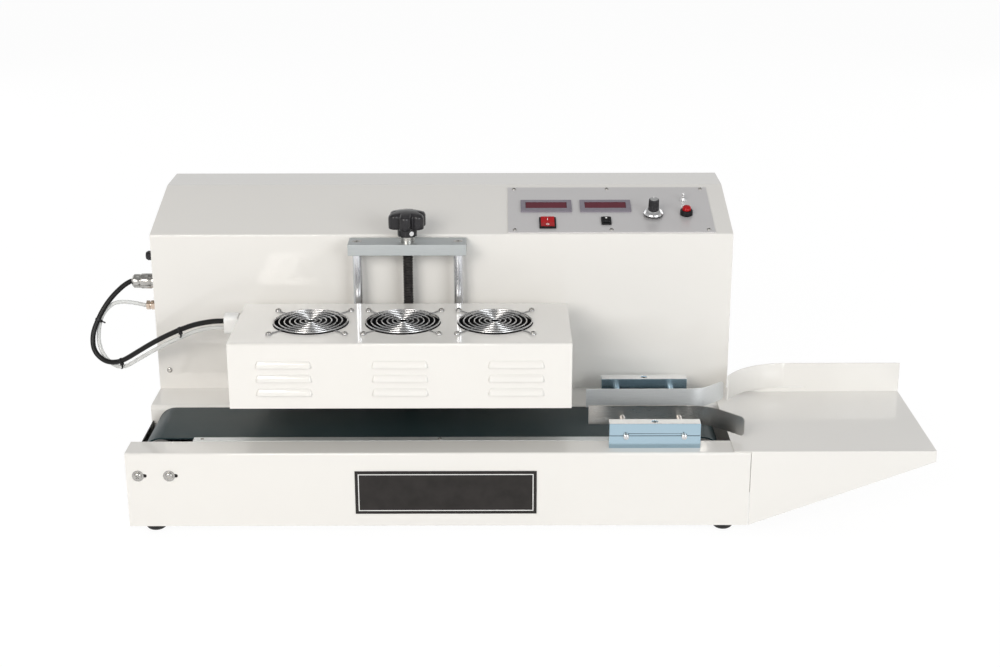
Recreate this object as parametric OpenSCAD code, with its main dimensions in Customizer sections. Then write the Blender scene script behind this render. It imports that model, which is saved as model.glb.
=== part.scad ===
// Induction cap sealer: a belt conveyor with a sealing head that a star knob raises and lowers.
// Places below are counted from the base's front left bottom corner: x along the belt, y to the back, z up.

/* [Base] */
// Length of the base and of the cabinet on it
base_l = 860; // [780:5:960]
// Height of the base at its top flange
base_h = 109; // [104:1:116]
// Depth of the base
base_d = 486; // [476:1:520]
// Depth of the front flange
flange_d = 46; // [44:1:52]
// Width of the bay that the belt runs in
bay_w = 135; // [133:1:141]
// Depth of the deck in front of the cabinet
deck_d = 74; // [72:1:80]
// Thickness of the folded sheet
sheet_t = 1.5; // [1.2:0.1:2]
// Outer radius of the folds
fold_r = 3; // [2.2:0.1:4]
// Outer radius of the soft fold at the front of the deck
deck_fold_r = 6; // [4:0.5:8]
// Height of the turned-down lip along the bay
lip_h = 18; // [14:1:19]
// Height of the left end wall beside the belt's end
end_wall_h = 82; // [76:1:84]
// Height of the rubber feet
foot_h = 16; // [10:1:25]
// Diameter of the rubber feet
foot_dia = 30; // [26:1:40]
// Distance of the feet from the ends of the base
foot_inset_x = 31; // [26:1:45]
// Distance of the feet from the front and back of the base
foot_inset_y = 30; // [26:1:50]

/* [Conveyor] */
// Width of the belt
belt_w = 118; // [112:1:119]
// Thickness of the belt
belt_t = 2; // [1.5:0.1:3]
// Depth of the belt's top below the flange
belt_drop = 1.5; // [0.5:0.1:2.5]
// Diameter of the two rollers
roller_dia = 50; // [44:1:54]
// Diameter of the rollers' axles
axle_dia = 12; // [10:1:14]
// Distance of the idler roller's axle from the left end
idler_x = 38; // [36:1:44]
// Distance of the drive roller's axle from the right end
drive_inset = 60; // [56:1:70]
// Width of the cover strip beside the belt
strip_w = 13; // [11:1:14]
// Left end of the slider bed
bed_x0 = 86; // [80:1:100]
// Gap between the slider bed and the drive roller
bed_end_gap = 8; // [5:1:15]
// Pitch of the two belt tension screws
tension_pitch = 43; // [38:1:48]
// Height of the belt tension screws
tension_z = 76; // [72:1:80]
// Diameter of the tension screws' washers
tension_washer_dia = 16; // [12:1:18]
// Side of the gearbox
gearbox_side = 70; // [60:1:74]
// Diameter of the motor
motor_dia = 66; // [50:1:68]
// Length of the motor
motor_length = 90; // [60:1:120]

/* [Feed tray] */
// Length of the feed tray
tray_l = 255; // [200:5:320]
// Depth of the feed tray
tray_d = 235; // [225:1:240]
// Lap of the tray's plate over the base
tray_lap = 23; // [18:1:26]
// Height of the tray's lip at its free end
tray_lip_h = 16; // [12:1:24]
// Height of the tray's back plate
tray_back_h = 45; // [38:1:55]
// Free height below the back plate's curved tongue
tongue_lift = 7; // [5:1:9]
// Distance from the base to the tongue's root
tongue_root = 113; // [105:1:125]
// Distance from the base to the start of the tongue's curve
tongue_bend = 82; // [76:1:88]
// Outer radius of the tongue's curve
tongue_r = 104; // [100:1:108]
// Angle of the tongue's curve
tongue_a = 63; // [58:1:65]

/* [Bottle guides] */
// Width of the lane between the guides
lane_w = 65; // [56:1:72]
// Height of the guide rails
guide_h = 28; // [22:1:34]
// Height of the guide rails' lower edge above the flange
guide_lift = 8; // [6:1:9]
// Thickness of the guide rails
guide_t = 1.5; // [1.2:0.1:2]
// Distance of the guide rails' left end from the right end of the base
guide_reach = 219; // [205:1:225]
// Distance of the front flare's start from the right end of the base
front_flare_reach = 77; // [74:1:84]
// Distance of the back flare's start from the right end of the base
back_flare_reach = 70; // [68:1:74]
// Radius of the front rail's flare
front_flare_r = 62; // [54:1:64]
// Radius of the back rail's flare
back_flare_r = 50; // [44:1:52]
// Angle of the front rail's flare
front_flare_a = 46; // [40:1:48]
// Length of the front rail's flared end
front_flare_l = 40; // [34:1:42]
// Angle of the back rail's flare
back_flare_a = 43; // [38:1:46]
// Length of the back rail's flared end
back_flare_l = 29; // [20:1:30]
// Length of the clamp blocks
block_l = 126; // [116:1:136]
// Depth of the clamp blocks
block_d = 18; // [16:1:20]
// Height of the clamp blocks
block_h = 36; // [32:1:42]
// Distance of the clamp blocks' middle from the right end of the base
block_reach = 131; // [126:1:138]
// Distance of the front clamp block from the base's front
front_block_y = 17; // [14:1:20]
// Distance of the back clamp block from the bay
back_block_gap = 14; // [13:1:16]
// Diameter of the guide rods
guide_rod_dia = 8; // [6:1:10]
// Pitch of the guide rods
guide_rod_pitch = 80; // [70:1:90]
// Length of rod that shows in front of the front block
rod_show = 4; // [2:1:6]
// Length of rod behind the back block
rod_tail = 11; // [8:1:13]

/* [Cabinet] */
// Height of the fold between the front and the slope
bend_z = 350; // [340:1:360]
// Height of the cabinet's flat top
top_z = 389; // [384:1:396]
// Depth of the slope, from the cabinet's front
slope_d = 152; // [146:1:165]
// Height of the connectors' plugs on the left panel
connector_z = 269; // [262:1:276]
// Height of the tube fitting on the left panel
fitting_z = 231; // [225:1:236]
// Height of the fuse holder on the left panel
fuse_z = 309; // [304:1:320]
// Distance of those fittings from the cabinet's front
side_fit_y = 35; // [30:1:45]
// Length of the cable plug outside the panel
plug_l = 38; // [32:1:44]
// Diameter of the cable plug
plug_dia = 23; // [20:1:26]

/* [Control panel] */
// Distance of the panel's left edge from the right end of the cabinet
panel_reach = 332; // [326:1:340]
// Length of the control panel
panel_l = 306; // [304:1:312]
// Depth of the control panel along the slope
panel_d = 140; // [139:1:142]
// Distance of the panel's lower edge from the fold
panel_v = 4; // [3:1:6]
// Thickness of the control panel
panel_t = 1.5; // [1:0.1:2]
// Length of a meter's bezel
meter_l = 77; // [74:1:80]
// Depth of a meter's bezel
meter_d = 35; // [33:1:38]
// Height of a meter's bezel above the panel
meter_rise = 2.5; // [2:0.1:4]
// Diameter of the speed knob's skirt
speed_skirt_dia = 30; // [26:1:33]
// Height of the speed knob above the panel
speed_knob_h = 28; // [22:1:31]
// Diameter of the push button's cap
button_dia = 13.2; // [11:0.1:14]
// Rest tilt of the rockers
rocker_tilt = 8; // [6:1:9]

/* [Head] */
// Length of the sealing head
head_l = 470; // [456:1:480]
// Height of the sealing head
head_h = 94; // [90:1:100]
// Distance of the head's left end from the base's left end
head_x = 144; // [138:1:150]
// Height of the head's underside
head_z = 165; // [160:1:168]
// Distance of the head's front from the base's front
head_y = 26; // [22:1:30]
// Pitch of the fans
fan_pitch = 130; // [124:1:134]
// Side of a fan's frame
fan_side = 119.5; // [119:0.1:120]
// Depth of a fan's frame
fan_h = 38; // [25:1:38]
// Pitch of a fan's screw holes
fan_hole_pitch = 105; // [104:0.1:105]
// Diameter of the air holes in the head's top
air_hole_dia = 107; // [104:1:110]
// Number of rings in a finger guard
guard_rings = 7; // [5:1:7]
// Thickness of the guards' wire
guard_wire = 2; // [1.6:0.1:2.4]
// Length of a louvre
louvre_l = 77; // [60:1:84]
// Height of a louvre
louvre_h = 10; // [8:1:12]
// Depth of a louvre
louvre_d = 4; // [3:0.5:5]
// Pitch of the louvres in a group
louvre_pitch = 20; // [16:1:20]
// Pitch of the louvre groups
louvre_group_pitch = 159; // [150:1:160]

/* [Lift] */
// Gap between the head and the cabinet
lift_gap = 46; // [45:1:50]
// Distance of the lift screw from the base's left end
lift_x = 381; // [375:1:386]
// Pitch of the lift rods
rod_pitch = 148; // [144:1:152]
// Diameter of the lift rods
rod_dia = 14; // [12:1:16]
// Diameter of the lift screw
screw_dia = 15; // [12:1:16]
// Height of the top bar's underside
bar_z = 330; // [326:1:338]
// Length of the top bar
bar_l = 172; // [168:1:182]
// Height of the top bar
bar_h = 16.5; // [14:0.5:20]
// Depth of the top bar
bar_d = 41; // [36:1:42]
// Height of the collars under the knob
collar_h = 8.5; // [7:0.5:12]
// Diameter of the knob's hub
knob_hub_dia = 28.5; // [26:0.5:32]
// Height of the knob's hub
knob_hub_h = 12.5; // [10:0.5:16]
// Diameter over the knob's lobes
knob_dia = 57; // [52:1:64]
// Height of the knob's lobes at its middle
knob_h = 25; // [20:1:28]
// Length of the carriage behind the head
carriage_l = 190; // [184:1:200]
// Height of the carriage behind the head
carriage_h = 62; // [55:1:70]

/* [Hidden] */
$fn = 48;

// Clearances
run_gap = 0.05;      // a shaft in its bore, all round
seat_gap = 0.3;      // a curved face beside another
loose_gap = 0.5;     // a part that clears its opening

// Places that follow from the sizes above
bay_y0 = flange_d;
bay_y1 = flange_d + bay_w;
cab_y0 = bay_y1 + deck_d;
floor_t = sheet_t;
roller_r = roller_dia / 2;
belt_top = base_h - belt_drop;
roller_z = belt_top - belt_t - seat_gap - roller_r;
drive_x = base_l - drive_inset;
belt_y0 = bay_y0 + strip_w + (bay_w - strip_w - belt_w) / 2;
belt_mid_y = belt_y0 + belt_w / 2;
bed_z = belt_top - belt_t - sheet_t;
lane_y0 = belt_mid_y - lane_w / 2;
lane_y1 = belt_mid_y + lane_w / 2;
guide_z = base_h + guide_lift;
block_x = base_l - block_reach;
back_block_y = bay_y1 + back_block_gap;
guide_rod_z = base_h + block_h / 2;
tray_top = base_h + sheet_t;
tongue_slit = 0.6;               // cut below the tongue
tray_seam = 0.8;                 // open joint between the base and the tray
slope_a = atan2(top_z - bend_z, slope_d);
side_fit_at = cab_y0 + side_fit_y;
panel_x = base_l - panel_reach;
head_y1 = cab_y0 - lift_gap;
head_d = head_y1 - head_y;
head_top = head_z + head_h;
head_mid_x = head_x + head_l / 2;
head_mid_y = (head_y + head_y1) / 2;
fan_top = head_top - sheet_t;
rod_y = cab_y0 - lift_gap / 2;
bar_top = bar_z + bar_h;
hub_z = bar_top + collar_h;
lobe_z = hub_z + knob_hub_h;
knob_top = lobe_z + knob_h;

// Small parts' sizes
tension_head_h = 3.5;
tension_washer_t = 1.2;
tension_slot_l = 15;             // between the middles of the slot's round ends
tension_slot_r = 2.8;
tension_slot_back = 5.7;
plate_t = 12;                    // bearing plates of the rollers
stand_y = 24;                    // drive bearing stand, from the base's front
gear_l = 42;                     // depth of the gearbox
inlet_rim_t = 2;
bush_wall = 4;
nut_wall = 5;
bush_rim_h = 2;
carriage_d = 38;
carriage_lift = 6;               // carriage's underside above the head's
head_floor_t = 8;
coil_h = 12;
screw_foot_gap = 6;              // free height below the lift screw

// Middle of the whole machine, for the frame's origin on the floor below it
mid_x = (base_l + tray_l - plug_l) / 2;
mid_y = (base_d + inlet_rim_t - tension_head_h - tension_washer_t) / 2;

// Panel items: place along the panel's length and up the slope
meter_at = [[58, 78], [147.5, 78]];
power_at = [59, 26];
mode_at = [146.5, 32];
speed_at = [218, 51];
toggle_at = [267, 96];
button_at = [268, 54];
power_size = [25, 31];
mode_size = [15, 21];
panel_screws_at = [for (u = [10, panel_l / 2, panel_l - 9]) for (v = [7, panel_d - 6]) [u, v]];
rocker_rise = 2.5;               // rocker frames above the panel
rocker_wall = 1.2;
rocker_pin_r = 1.5;
button_bezel_r = 9.6;
button_bezel_h = 8;
button_rise = 14;
speed_shaft_r = 3;
toggle_lever_r = 1.5;

// The head's cable runs from the plug to the gland, hanging in one loop beside the base
gland_l = 24;
gland_y = 165;
gland_z = 243;
cable_r = 3.8;
tube_r = 3;
cable_route = [[-40, 290, 269], [-50, 286, 264], [-62, 279, 254], [-72, 273, 243], [-81, 267, 230],
    [-89, 260, 214], [-94, 254, 200], [-95, 249, 187], [-92, 243, 175], [-83, 238, 165], [-70, 233, 160],
    [-54, 228, 162], [-40, 223, 169], [-21, 216, 182], [-2, 209, 195], [17, 202, 207], [36, 195, 218],
    [52, 190, 226], [70, 184, 234], [88, 177, 240], [104, 171, 244], [118, 166, 246]];
tube_route = [[-22, 290, 231], [-34, 287, 235], [-51, 281, 239], [-65, 278, 238], [-75, 276, 231],
    [-84, 271, 219], [-88, 265, 203], [-88, 257, 186], [-83, 250, 171], [-74, 244, 160], [-60, 237, 152],
    [-44, 230, 154], [-23, 220, 168], [-3, 210, 182], [16, 203, 194], [34, 196, 205], [52, 190, 214],
    [72, 182, 225], [96, 173, 233], [118, 166, 236]];

paint = [0.93, 0.91, 0.87];
zinc = [0.72, 0.76, 0.8];
steel = [0.75, 0.75, 0.76];
dark = [0.08, 0.08, 0.09];
brass = [0.78, 0.62, 0.32];

// From machine places to the frame on the floor
module placed() translate([-mid_x, -mid_y, foot_h]) children();

// From panel places to machine places: along the panel, up the slope and out of it
module on_panel() {
    translate([panel_x, cab_y0, bend_z]) rotate([slope_a, 0, 0]) translate([0, panel_v, 0]) children();
}

// A section drawn in y and z, run along x
module along_x(len) rotate([90, 0, 90]) linear_extrude(len) children();

// A section drawn in x and z, run along y
module along_y(len) translate([0, len, 0]) rotate([90, 0, 0]) linear_extrude(len) children();

// A turned part, with its axis along y
module turned_y() rotate([-90, 0, 0]) children();

// A turned part, with its axis out of the left panel
module turned_left() rotate([0, -90, 0]) children();

// Slice of a circle from one angle to another
module sector2d(r, a0, a1) {
    polygon([[0, 0], for (i = [0:6]) 2 * r * [cos(a0 + (a1 - a0) * i / 6), sin(a0 + (a1 - a0) * i / 6)]]);
}

function unit(v) = v / norm(v);
function right_of(d) = [d[1], -d[0]];
function right_turn(a, b) = atan2(a[1] * b[0] - a[0] * b[1], a * b);
function angle_of(d) = atan2(d[1], d[0]);

// Section of a sheet folded along an outer line that turns right at each fold
module folded2d(pts, radii) {
    last = len(pts) - 1;
    dirs = [for (i = [0:last - 1]) unit(pts[i + 1] - pts[i])];
    turns = [for (i = [0:last]) (i == 0 || i == last) ? 0 : right_turn(dirs[i - 1], dirs[i])];
    cuts = [for (i = [0:last]) radii[i] * tan(turns[i] / 2)];
    for (i = [0:last - 1]) {
        a = pts[i] + dirs[i] * cuts[i];
        b = pts[i + 1] - dirs[i] * cuts[i + 1];
        in = right_of(dirs[i]) * sheet_t;
        polygon([a, b, b + in, a + in]);
    }
    for (i = [1:last - 1]) {
        start = angle_of(-right_of(dirs[i - 1]));
        translate(pts[i] - dirs[i - 1] * cuts[i] + right_of(dirs[i - 1]) * radii[i])
            intersection() {
                difference() {
                    circle(radii[i]);
                    circle(radii[i] - sheet_t);
                }
                sector2d(radii[i], start - turns[i], start);
            }
    }
}

// Box outline with its two upper corners rounded
module arch2d(w, h, r0, r1) {
    square([w, h - max(r0, r1)]);
    translate([r0, 0]) square([w - r0 - r1, h]);
    translate([r0, h - r0]) circle(r0);
    translate([w - r1, h - r1]) circle(r1);
    translate([0, 0]) square([r0, h - r0]);
    translate([w - r1, 0]) square([r1, h - r1]);
}

// Rectangle with round corners, about its middle
module rounded2d(w, h, r) {
    square([w - 2 * r, h], center = true);
    square([w, h - 2 * r], center = true);
    for (sx = [-1, 1]) for (sy = [-1, 1]) translate([sx * (w / 2 - r), sy * (h / 2 - r)]) circle(r);
}

// Outline of a belt round two rollers
module stadium2d(l, r) {
    translate([0, -r]) square([l, 2 * r]);
    circle(r);
    translate([l, 0]) circle(r);
}

// Sheet base: front flange, bay for the belt, rear deck and end walls
module base_shell() {
    front = [[0, 0], [0, base_h], [flange_d, base_h], [flange_d, base_h - lip_h]];
    rear = [[bay_y1, floor_t], [bay_y1, base_h], [base_d, base_h], [base_d, 0]];
    axle_slot = axle_dia / 2 + 3;
    color(paint) placed() difference() {
        union() {
            along_x(base_l) folded2d(front, [0, fold_r, fold_r, 0]);
            along_x(base_l) folded2d(rear, [0, deck_fold_r, fold_r, 0]);
            for (x = [0, base_l - sheet_t]) translate([x, 0, 0]) along_x(sheet_t) {
                arch2d(flange_d, base_h, fold_r, fold_r);
                translate([bay_y1, 0]) arch2d(base_d - bay_y1, base_h, deck_fold_r, fold_r);
                translate([flange_d, 0]) square([bay_w, x == 0 ? end_wall_h : bed_z]);
            }
        }
        for (x = tension_xs()) translate([x - tension_slot_back, -1, tension_z]) along_y(sheet_t + 2)
            stadium2d(tension_slot_l, tension_slot_r);
        for (x = [idler_x, drive_x]) translate([x, bay_y1 - 1, roller_z]) turned_y()
            cylinder(h = sheet_t + 2, r = axle_slot);
    }
}

function tension_xs() = [idler_x - tension_pitch / 2, idler_x + tension_pitch / 2];

// Plate that closes the base from below
module base_floor() {
    color(steel) placed() translate([sheet_t, sheet_t, 0])
        cube([base_l - 2 * sheet_t, base_d - 2 * sheet_t, floor_t]);
}

// Four round rubber feet with a sunk screw hole
module rubber_feet() {
    edge_r = 8;
    color(dark) placed()
        for (x = [foot_inset_x, base_l - foot_inset_x]) for (y = [foot_inset_y, base_d - foot_inset_y])
            translate([x, y, -foot_h]) difference() {
                rotate_extrude() {
                    square([foot_dia / 2 - edge_r, foot_h]);
                    translate([0, edge_r]) square([foot_dia / 2, foot_h - edge_r]);
                    intersection() {
                        translate([foot_dia / 2 - edge_r, edge_r]) circle(edge_r);
                        square([foot_dia / 2, foot_h]);
                    }
                }
                translate([0, 0, -1]) cylinder(h = foot_h / 2 + 1, r = 5);
            }
}

// Folded bed that the belt slides on, with the cover strip beside the belt
module slider_bed() {
    bed_l = drive_x - roller_r - bed_end_gap - bed_x0;
    step_y = bay_y0 + strip_w - sheet_t;
    hem_h = 14;
    color(steel) placed() translate([bed_x0, 0, 0]) along_x(bed_l) {
        translate([bay_y0, base_h - lip_h]) square([sheet_t, lip_h]);
        translate([bay_y0, base_h - sheet_t]) square([strip_w, sheet_t]);
        translate([step_y, bed_z]) square([sheet_t, base_h - bed_z]);
        translate([step_y, bed_z]) square([bay_y1 - step_y, sheet_t]);
        translate([bay_y1 - sheet_t, bed_z - hem_h]) square([sheet_t, hem_h + sheet_t]);
    }
}

// Endless belt round both rollers
module conveyor_belt() {
    inner_r = roller_r + seat_gap;
    color([0.13, 0.2, 0.2]) placed() translate([idler_x, belt_y0, roller_z]) along_y(belt_w) difference() {
        stadium2d(drive_x - idler_x, inner_r + belt_t);
        stadium2d(drive_x - idler_x, inner_r);
    }
}

// Roller with sunk ends on its own axle
module roller(x, axle_from, axle_to) {
    sink = 3;
    rim = 4;
    color(steel) placed() translate([x, 0, roller_z]) turned_y() {
        difference() {
            translate([0, 0, belt_y0]) cylinder(h = belt_w, r = roller_r);
            for (y = [belt_y0 - 1, belt_y0 + belt_w - sink])
                translate([0, 0, y]) cylinder(h = sink + 1, r = roller_r - rim);
        }
        translate([0, 0, axle_from]) cylinder(h = axle_to - axle_from, d = axle_dia);
    }
}

module drive_roller() roller(drive_x, stand_y + 2, bay_y1 + sheet_t + gear_l - 10);
module idler_roller() roller(idler_x, sheet_t + 2, bay_y1 + sheet_t + plate_t - 2);

// Bearing plates that the tension screws pull along the base
module idler_bearing_plates() {
    plate_l = 64;
    plate_h = 36;
    plate_z = roller_z - plate_h / 2 - 2;
    tie_x = sheet_t + seat_gap;
    color(dark) placed() difference() {
        union() {
            for (y = [sheet_t, bay_y1 + sheet_t])
                translate([idler_x - plate_l / 2, y, plate_z]) cube([plate_l, plate_t, plate_h]);
            translate([tie_x, sheet_t, plate_z]) cube([idler_x - tie_x, plate_t, end_wall_h + 4 - plate_z]);
            translate([tie_x, sheet_t, plate_z])
                cube([sheet_t, bay_y1 - sheet_t, end_wall_h + 4 - plate_z]);
        }
        translate([idler_x, -1, roller_z]) turned_y() cylinder(h = base_d / 2, r = axle_dia / 2 + run_gap);
        for (x = tension_xs()) translate([x, 0, tension_z]) turned_y()
            cylinder(h = sheet_t + 11, r = 2.5 + run_gap);
    }
}

// Washer-head screws in the slots of the base's front
module tension_screws() {
    color(steel) placed() for (x = tension_xs()) translate([x, 0, tension_z]) turned_y() {
        translate([0, 0, -tension_washer_t]) cylinder(h = tension_washer_t, d = tension_washer_dia);
        translate([0, 0, -tension_washer_t - tension_head_h / 2])
            cylinder(h = tension_head_h / 2 + tension_washer_t, r = 5.5);
        translate([0, 0, -tension_washer_t - tension_head_h])
            cylinder(h = tension_head_h / 2, r1 = 3.8, r2 = 5.5);
        cylinder(h = sheet_t + 10, r = 2.5);
    }
}

// Stand on the floor plate for the drive roller's front end
module drive_bearing_stand() {
    half_w = 24;
    foot_d = 30;
    foot_t = 6;
    color(zinc) placed() difference() {
        union() {
            translate([drive_x, stand_y, 0]) along_y(plate_t) {
                translate([-half_w, floor_t]) square([2 * half_w, roller_z - floor_t]);
                translate([0, roller_z]) circle(half_w);
            }
            translate([drive_x - half_w, stand_y, floor_t]) cube([2 * half_w, foot_d, foot_t]);
        }
        translate([drive_x, stand_y - 1, roller_z]) turned_y()
            cylinder(h = plate_t + 2, r = axle_dia / 2 + run_gap);
        translate([drive_x - half_w - 1, stand_y - 1, base_h - sheet_t - loose_gap])
            cube([2 * half_w + 2, plate_t + 2, half_w]);
    }
}

// Geared motor behind the bay, with a hollow output for the drive axle
module drive_gearmotor() {
    gear_y = bay_y1 + sheet_t;
    gear_z = base_h - deck_fold_r - loose_gap - gearbox_side;
    cap_h = 12;
    color([0.45, 0.47, 0.5]) placed() difference() {
        union() {
            translate([drive_x - gearbox_side / 2, gear_y, gear_z])
                cube([gearbox_side, gear_l, gearbox_side]);
            translate([drive_x, gear_y + gear_l, gear_z + gearbox_side / 2]) turned_y() {
                cylinder(h = motor_length, d = motor_dia);
                translate([0, 0, motor_length]) cylinder(h = cap_h, d1 = motor_dia, d2 = motor_dia - 10);
            }
        }
        translate([drive_x, gear_y - 1, roller_z]) turned_y()
            cylinder(h = gear_l - 5, r = axle_dia / 2 + run_gap);
    }
}

// Folded feed tray, with a back plate whose free end curves to the belt
module feed_tray() {
    end_x = base_l + tray_l;
    root_x = base_l + tongue_root;
    bend_x = base_l + tongue_bend;
    low_z = tray_top - tray_lip_h;
    tab_h = 60;
    seam_x = base_l + tray_seam;
    skirt = [[seam_x, 0], [end_x, low_z], [end_x, base_h], [seam_x, base_h]];
    color(paint) placed() {
        translate([base_l - tray_lap, 0, base_h]) cube([tray_lap + tray_l, tray_d, sheet_t]);
        for (y = [0, tray_d - sheet_t]) translate([0, y, 0]) along_y(sheet_t) polygon(skirt);
        translate([end_x - sheet_t, 0, low_z]) cube([sheet_t, tray_d, tray_lip_h]);
        translate([base_l, sheet_t, base_h - tab_h]) cube([sheet_t, tray_d - 2 * sheet_t, tab_h]);
        translate([root_x, tray_d - sheet_t, base_h]) cube([end_x - root_x, sheet_t, sheet_t + tray_back_h]);
        translate([base_l, tray_d - sheet_t, base_h])
            cube([tongue_root, sheet_t, sheet_t + tongue_lift - tongue_slit]);
        translate([0, 0, tray_top + tongue_lift]) linear_extrude(tray_back_h - tongue_lift) {
            translate([bend_x, tray_d - sheet_t]) square([root_x - bend_x, sheet_t]);
            translate([bend_x, tray_d - tongue_r]) intersection() {
                difference() {
                    circle(tongue_r, $fn = 128);
                    circle(tongue_r - sheet_t, $fn = 128);
                }
                sector2d(tongue_r, 90, 90 + tongue_a);
            }
        }
    }
}

// Halves of the two clamp blocks, with grooves for the guide rods
module clamp_half(z, h) {
    color(zinc) placed() for (y = [front_block_y, back_block_y]) difference() {
        translate([block_x - block_l / 2, y, z]) cube([block_l, block_d, h]);
        for (s = [-1, 1]) translate([block_x + s * guide_rod_pitch / 2, y - 1, guide_rod_z])
            turned_y() cylinder(h = block_d + 2, r = guide_rod_dia / 2 + run_gap);
        translate([block_x, y + block_d / 2, base_h + clamp_hole_z])
            cylinder(h = block_h, r = clamp_screw_r + run_gap);
        translate([block_x, y + block_d / 2, base_h + block_h - clamp_head_h - 1])
            cylinder(h = block_h, r = clamp_head_r + seat_gap);
    }
}

clamp_hole_z = 6;
clamp_screw_r = 2.5;
clamp_head_r = 4.2;
clamp_head_h = 5;
clamp_split = 0.6;

module clamp_lower_blocks() clamp_half(base_h, (block_h - clamp_split) / 2);
module clamp_upper_blocks() clamp_half(base_h + (block_h + clamp_split) / 2, (block_h - clamp_split) / 2);

// One edge of a flared rail: straight to the flare, round it at radius r and on to its tip
function flared_edge(x0, middle, flare_a, flare_l, r) = let (steps = 24) concat(
    [[x0, middle[1] - r]],
    [for (i = [0:steps]) middle + r * [sin(flare_a * i / steps), -cos(flare_a * i / steps)]],
    [middle + r * [sin(flare_a), -cos(flare_a)] + flare_l * [cos(flare_a), sin(flare_a)]]);

function backwards(p) = [for (i = [len(p) - 1:-1:0]) p[i]];

// Guide rail with its lane face on y = 0, flared to +y at its right end, on two rods that end at rod_end
module guide_rail(flare_x, flare_r, flare_a, flare_l, rod_end) {
    corner_r = 7;
    lap = 0.3;
    guide_x0 = base_l - guide_reach;
    middle = [flare_x, flare_r];
    lane_edge = flared_edge(guide_x0, middle, flare_a, flare_l, flare_r);
    back_edge = flared_edge(guide_x0, middle, flare_a, flare_l, flare_r - guide_t);
    difference() {
        translate([0, 0, guide_z]) linear_extrude(guide_h) polygon(concat(lane_edge, backwards(back_edge)));
        translate([flare_x, flare_r, guide_z]) rotate([0, 0, flare_a])
            translate([flare_l - corner_r, -flare_r - 1, 0]) along_y(guide_t + 2) difference() {
                translate([0, -1]) square([corner_r + 1, guide_h + 2]);
                translate([-1, corner_r - lap]) square([corner_r + 3, guide_h - 2 * (corner_r - lap)]);
                for (z = [corner_r - lap, guide_h - corner_r + lap]) translate([lap, z]) circle(corner_r);
            }
    }
    for (s = [-1, 1]) translate([block_x + s * guide_rod_pitch / 2, guide_t / 2, guide_rod_z]) turned_y() {
        cylinder(h = rod_end - guide_t / 2 - 1, d = guide_rod_dia);
        translate([0, 0, rod_end - guide_t / 2 - 1])
            cylinder(h = 1, d1 = guide_rod_dia, d2 = guide_rod_dia - 2);
    }
}

module front_guide() {
    color(steel) placed() translate([0, lane_y0, 0]) mirror([0, 1, 0])
        guide_rail(base_l - front_flare_reach, front_flare_r, front_flare_a, front_flare_l,
            lane_y0 - front_block_y + rod_show);
}

module back_guide() {
    color(steel) placed() translate([0, lane_y1, 0])
        guide_rail(base_l - back_flare_reach, back_flare_r, back_flare_a, back_flare_l,
            back_block_y + block_d + rod_tail - lane_y1);
}

// The cabinet's outer line, from the foot of its front to the back of its top
function cabinet_line() = [[cab_y0, base_h], [cab_y0, bend_z], [cab_y0 + slope_d, top_z], [base_d, top_z]];

// Folded front, slope and top of the cabinet, open behind the control panel
module cabinet_cover() {
    rim = 10;
    color(paint) placed() difference() {
        along_x(base_l) folded2d(cabinet_line(), [0, fold_r, fold_r, 0]);
        placed_panel_opening(rim);
        translate([front_screw_x, cab_y0 - 1, base_h + front_screw_lift]) turned_y()
            cylinder(h = sheet_t + 2, r = 2);
    }
}

front_screw_x = 16;
front_screw_lift = 30;

module placed_panel_opening(rim) {
    on_panel() translate([rim, rim, -2 * sheet_t]) cube([panel_l - 2 * rim, panel_d - 2 * rim, 4 * sheet_t]);
    for (at = panel_screws_at) on_panel() translate([at[0], at[1], -2 * sheet_t])
        cylinder(h = 4 * sheet_t, r = 1.6);
}

// Outline inside the folded cover, with its corners cut clear of the folds
function cabinet_inside() = let (
    d = [cos(slope_a), sin(slope_a)],
    cut = fold_r,
    front = cab_y0 + sheet_t,
    low = [front, bend_z - sheet_t * cos(slope_a) + sheet_t * (1 - sin(slope_a)) / cos(slope_a) * sin(slope_a)],
    rise = top_z - sheet_t - low[1],
    high = [front + rise / tan(slope_a), top_z - sheet_t])
    [[front, base_h], low - [0, cut], low + d * cut, high - d * cut, high + [cut, 0], [base_d - sheet_t,
        high[1]],
    [base_d - sheet_t, base_h]];

// End panel with a turned-in foot on the deck
module end_panel(x, foot_x) {
    foot_w = 14;
    translate([x, 0, 0]) along_x(sheet_t) polygon(cabinet_inside());
    translate([foot_x, cab_y0 + sheet_t, base_h]) cube([foot_w, base_d - cab_y0 - 2 * sheet_t, sheet_t]);
}

module cabinet_left_panel() {
    hole = 2 * sheet_t + 2;
    color(paint) placed() difference() {
        end_panel(0, 0);
        translate([hole / 2, side_fit_at, connector_z]) turned_left()
            cylinder(h = hole, r = plug_barrel_r + run_gap);
        translate([hole / 2, side_fit_at, fitting_z]) turned_left()
            cylinder(h = hole, r = fitting_barrel_r + run_gap);
        translate([hole / 2, side_fit_at, fuse_z]) turned_left()
            cylinder(h = hole, r = fuse_barrel_r + run_gap);
    }
}

plug_barrel_r = 8.5;
fitting_barrel_r = 4.4;
fuse_barrel_r = 5.5;

module cabinet_right_panel() {
    color(paint) placed() translate([base_l, 0, 0]) mirror([1, 0, 0]) end_panel(0, 0);
}

inlet_x = 130;
inlet_z = 160;
inlet_hole = [28, 20];

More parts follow.
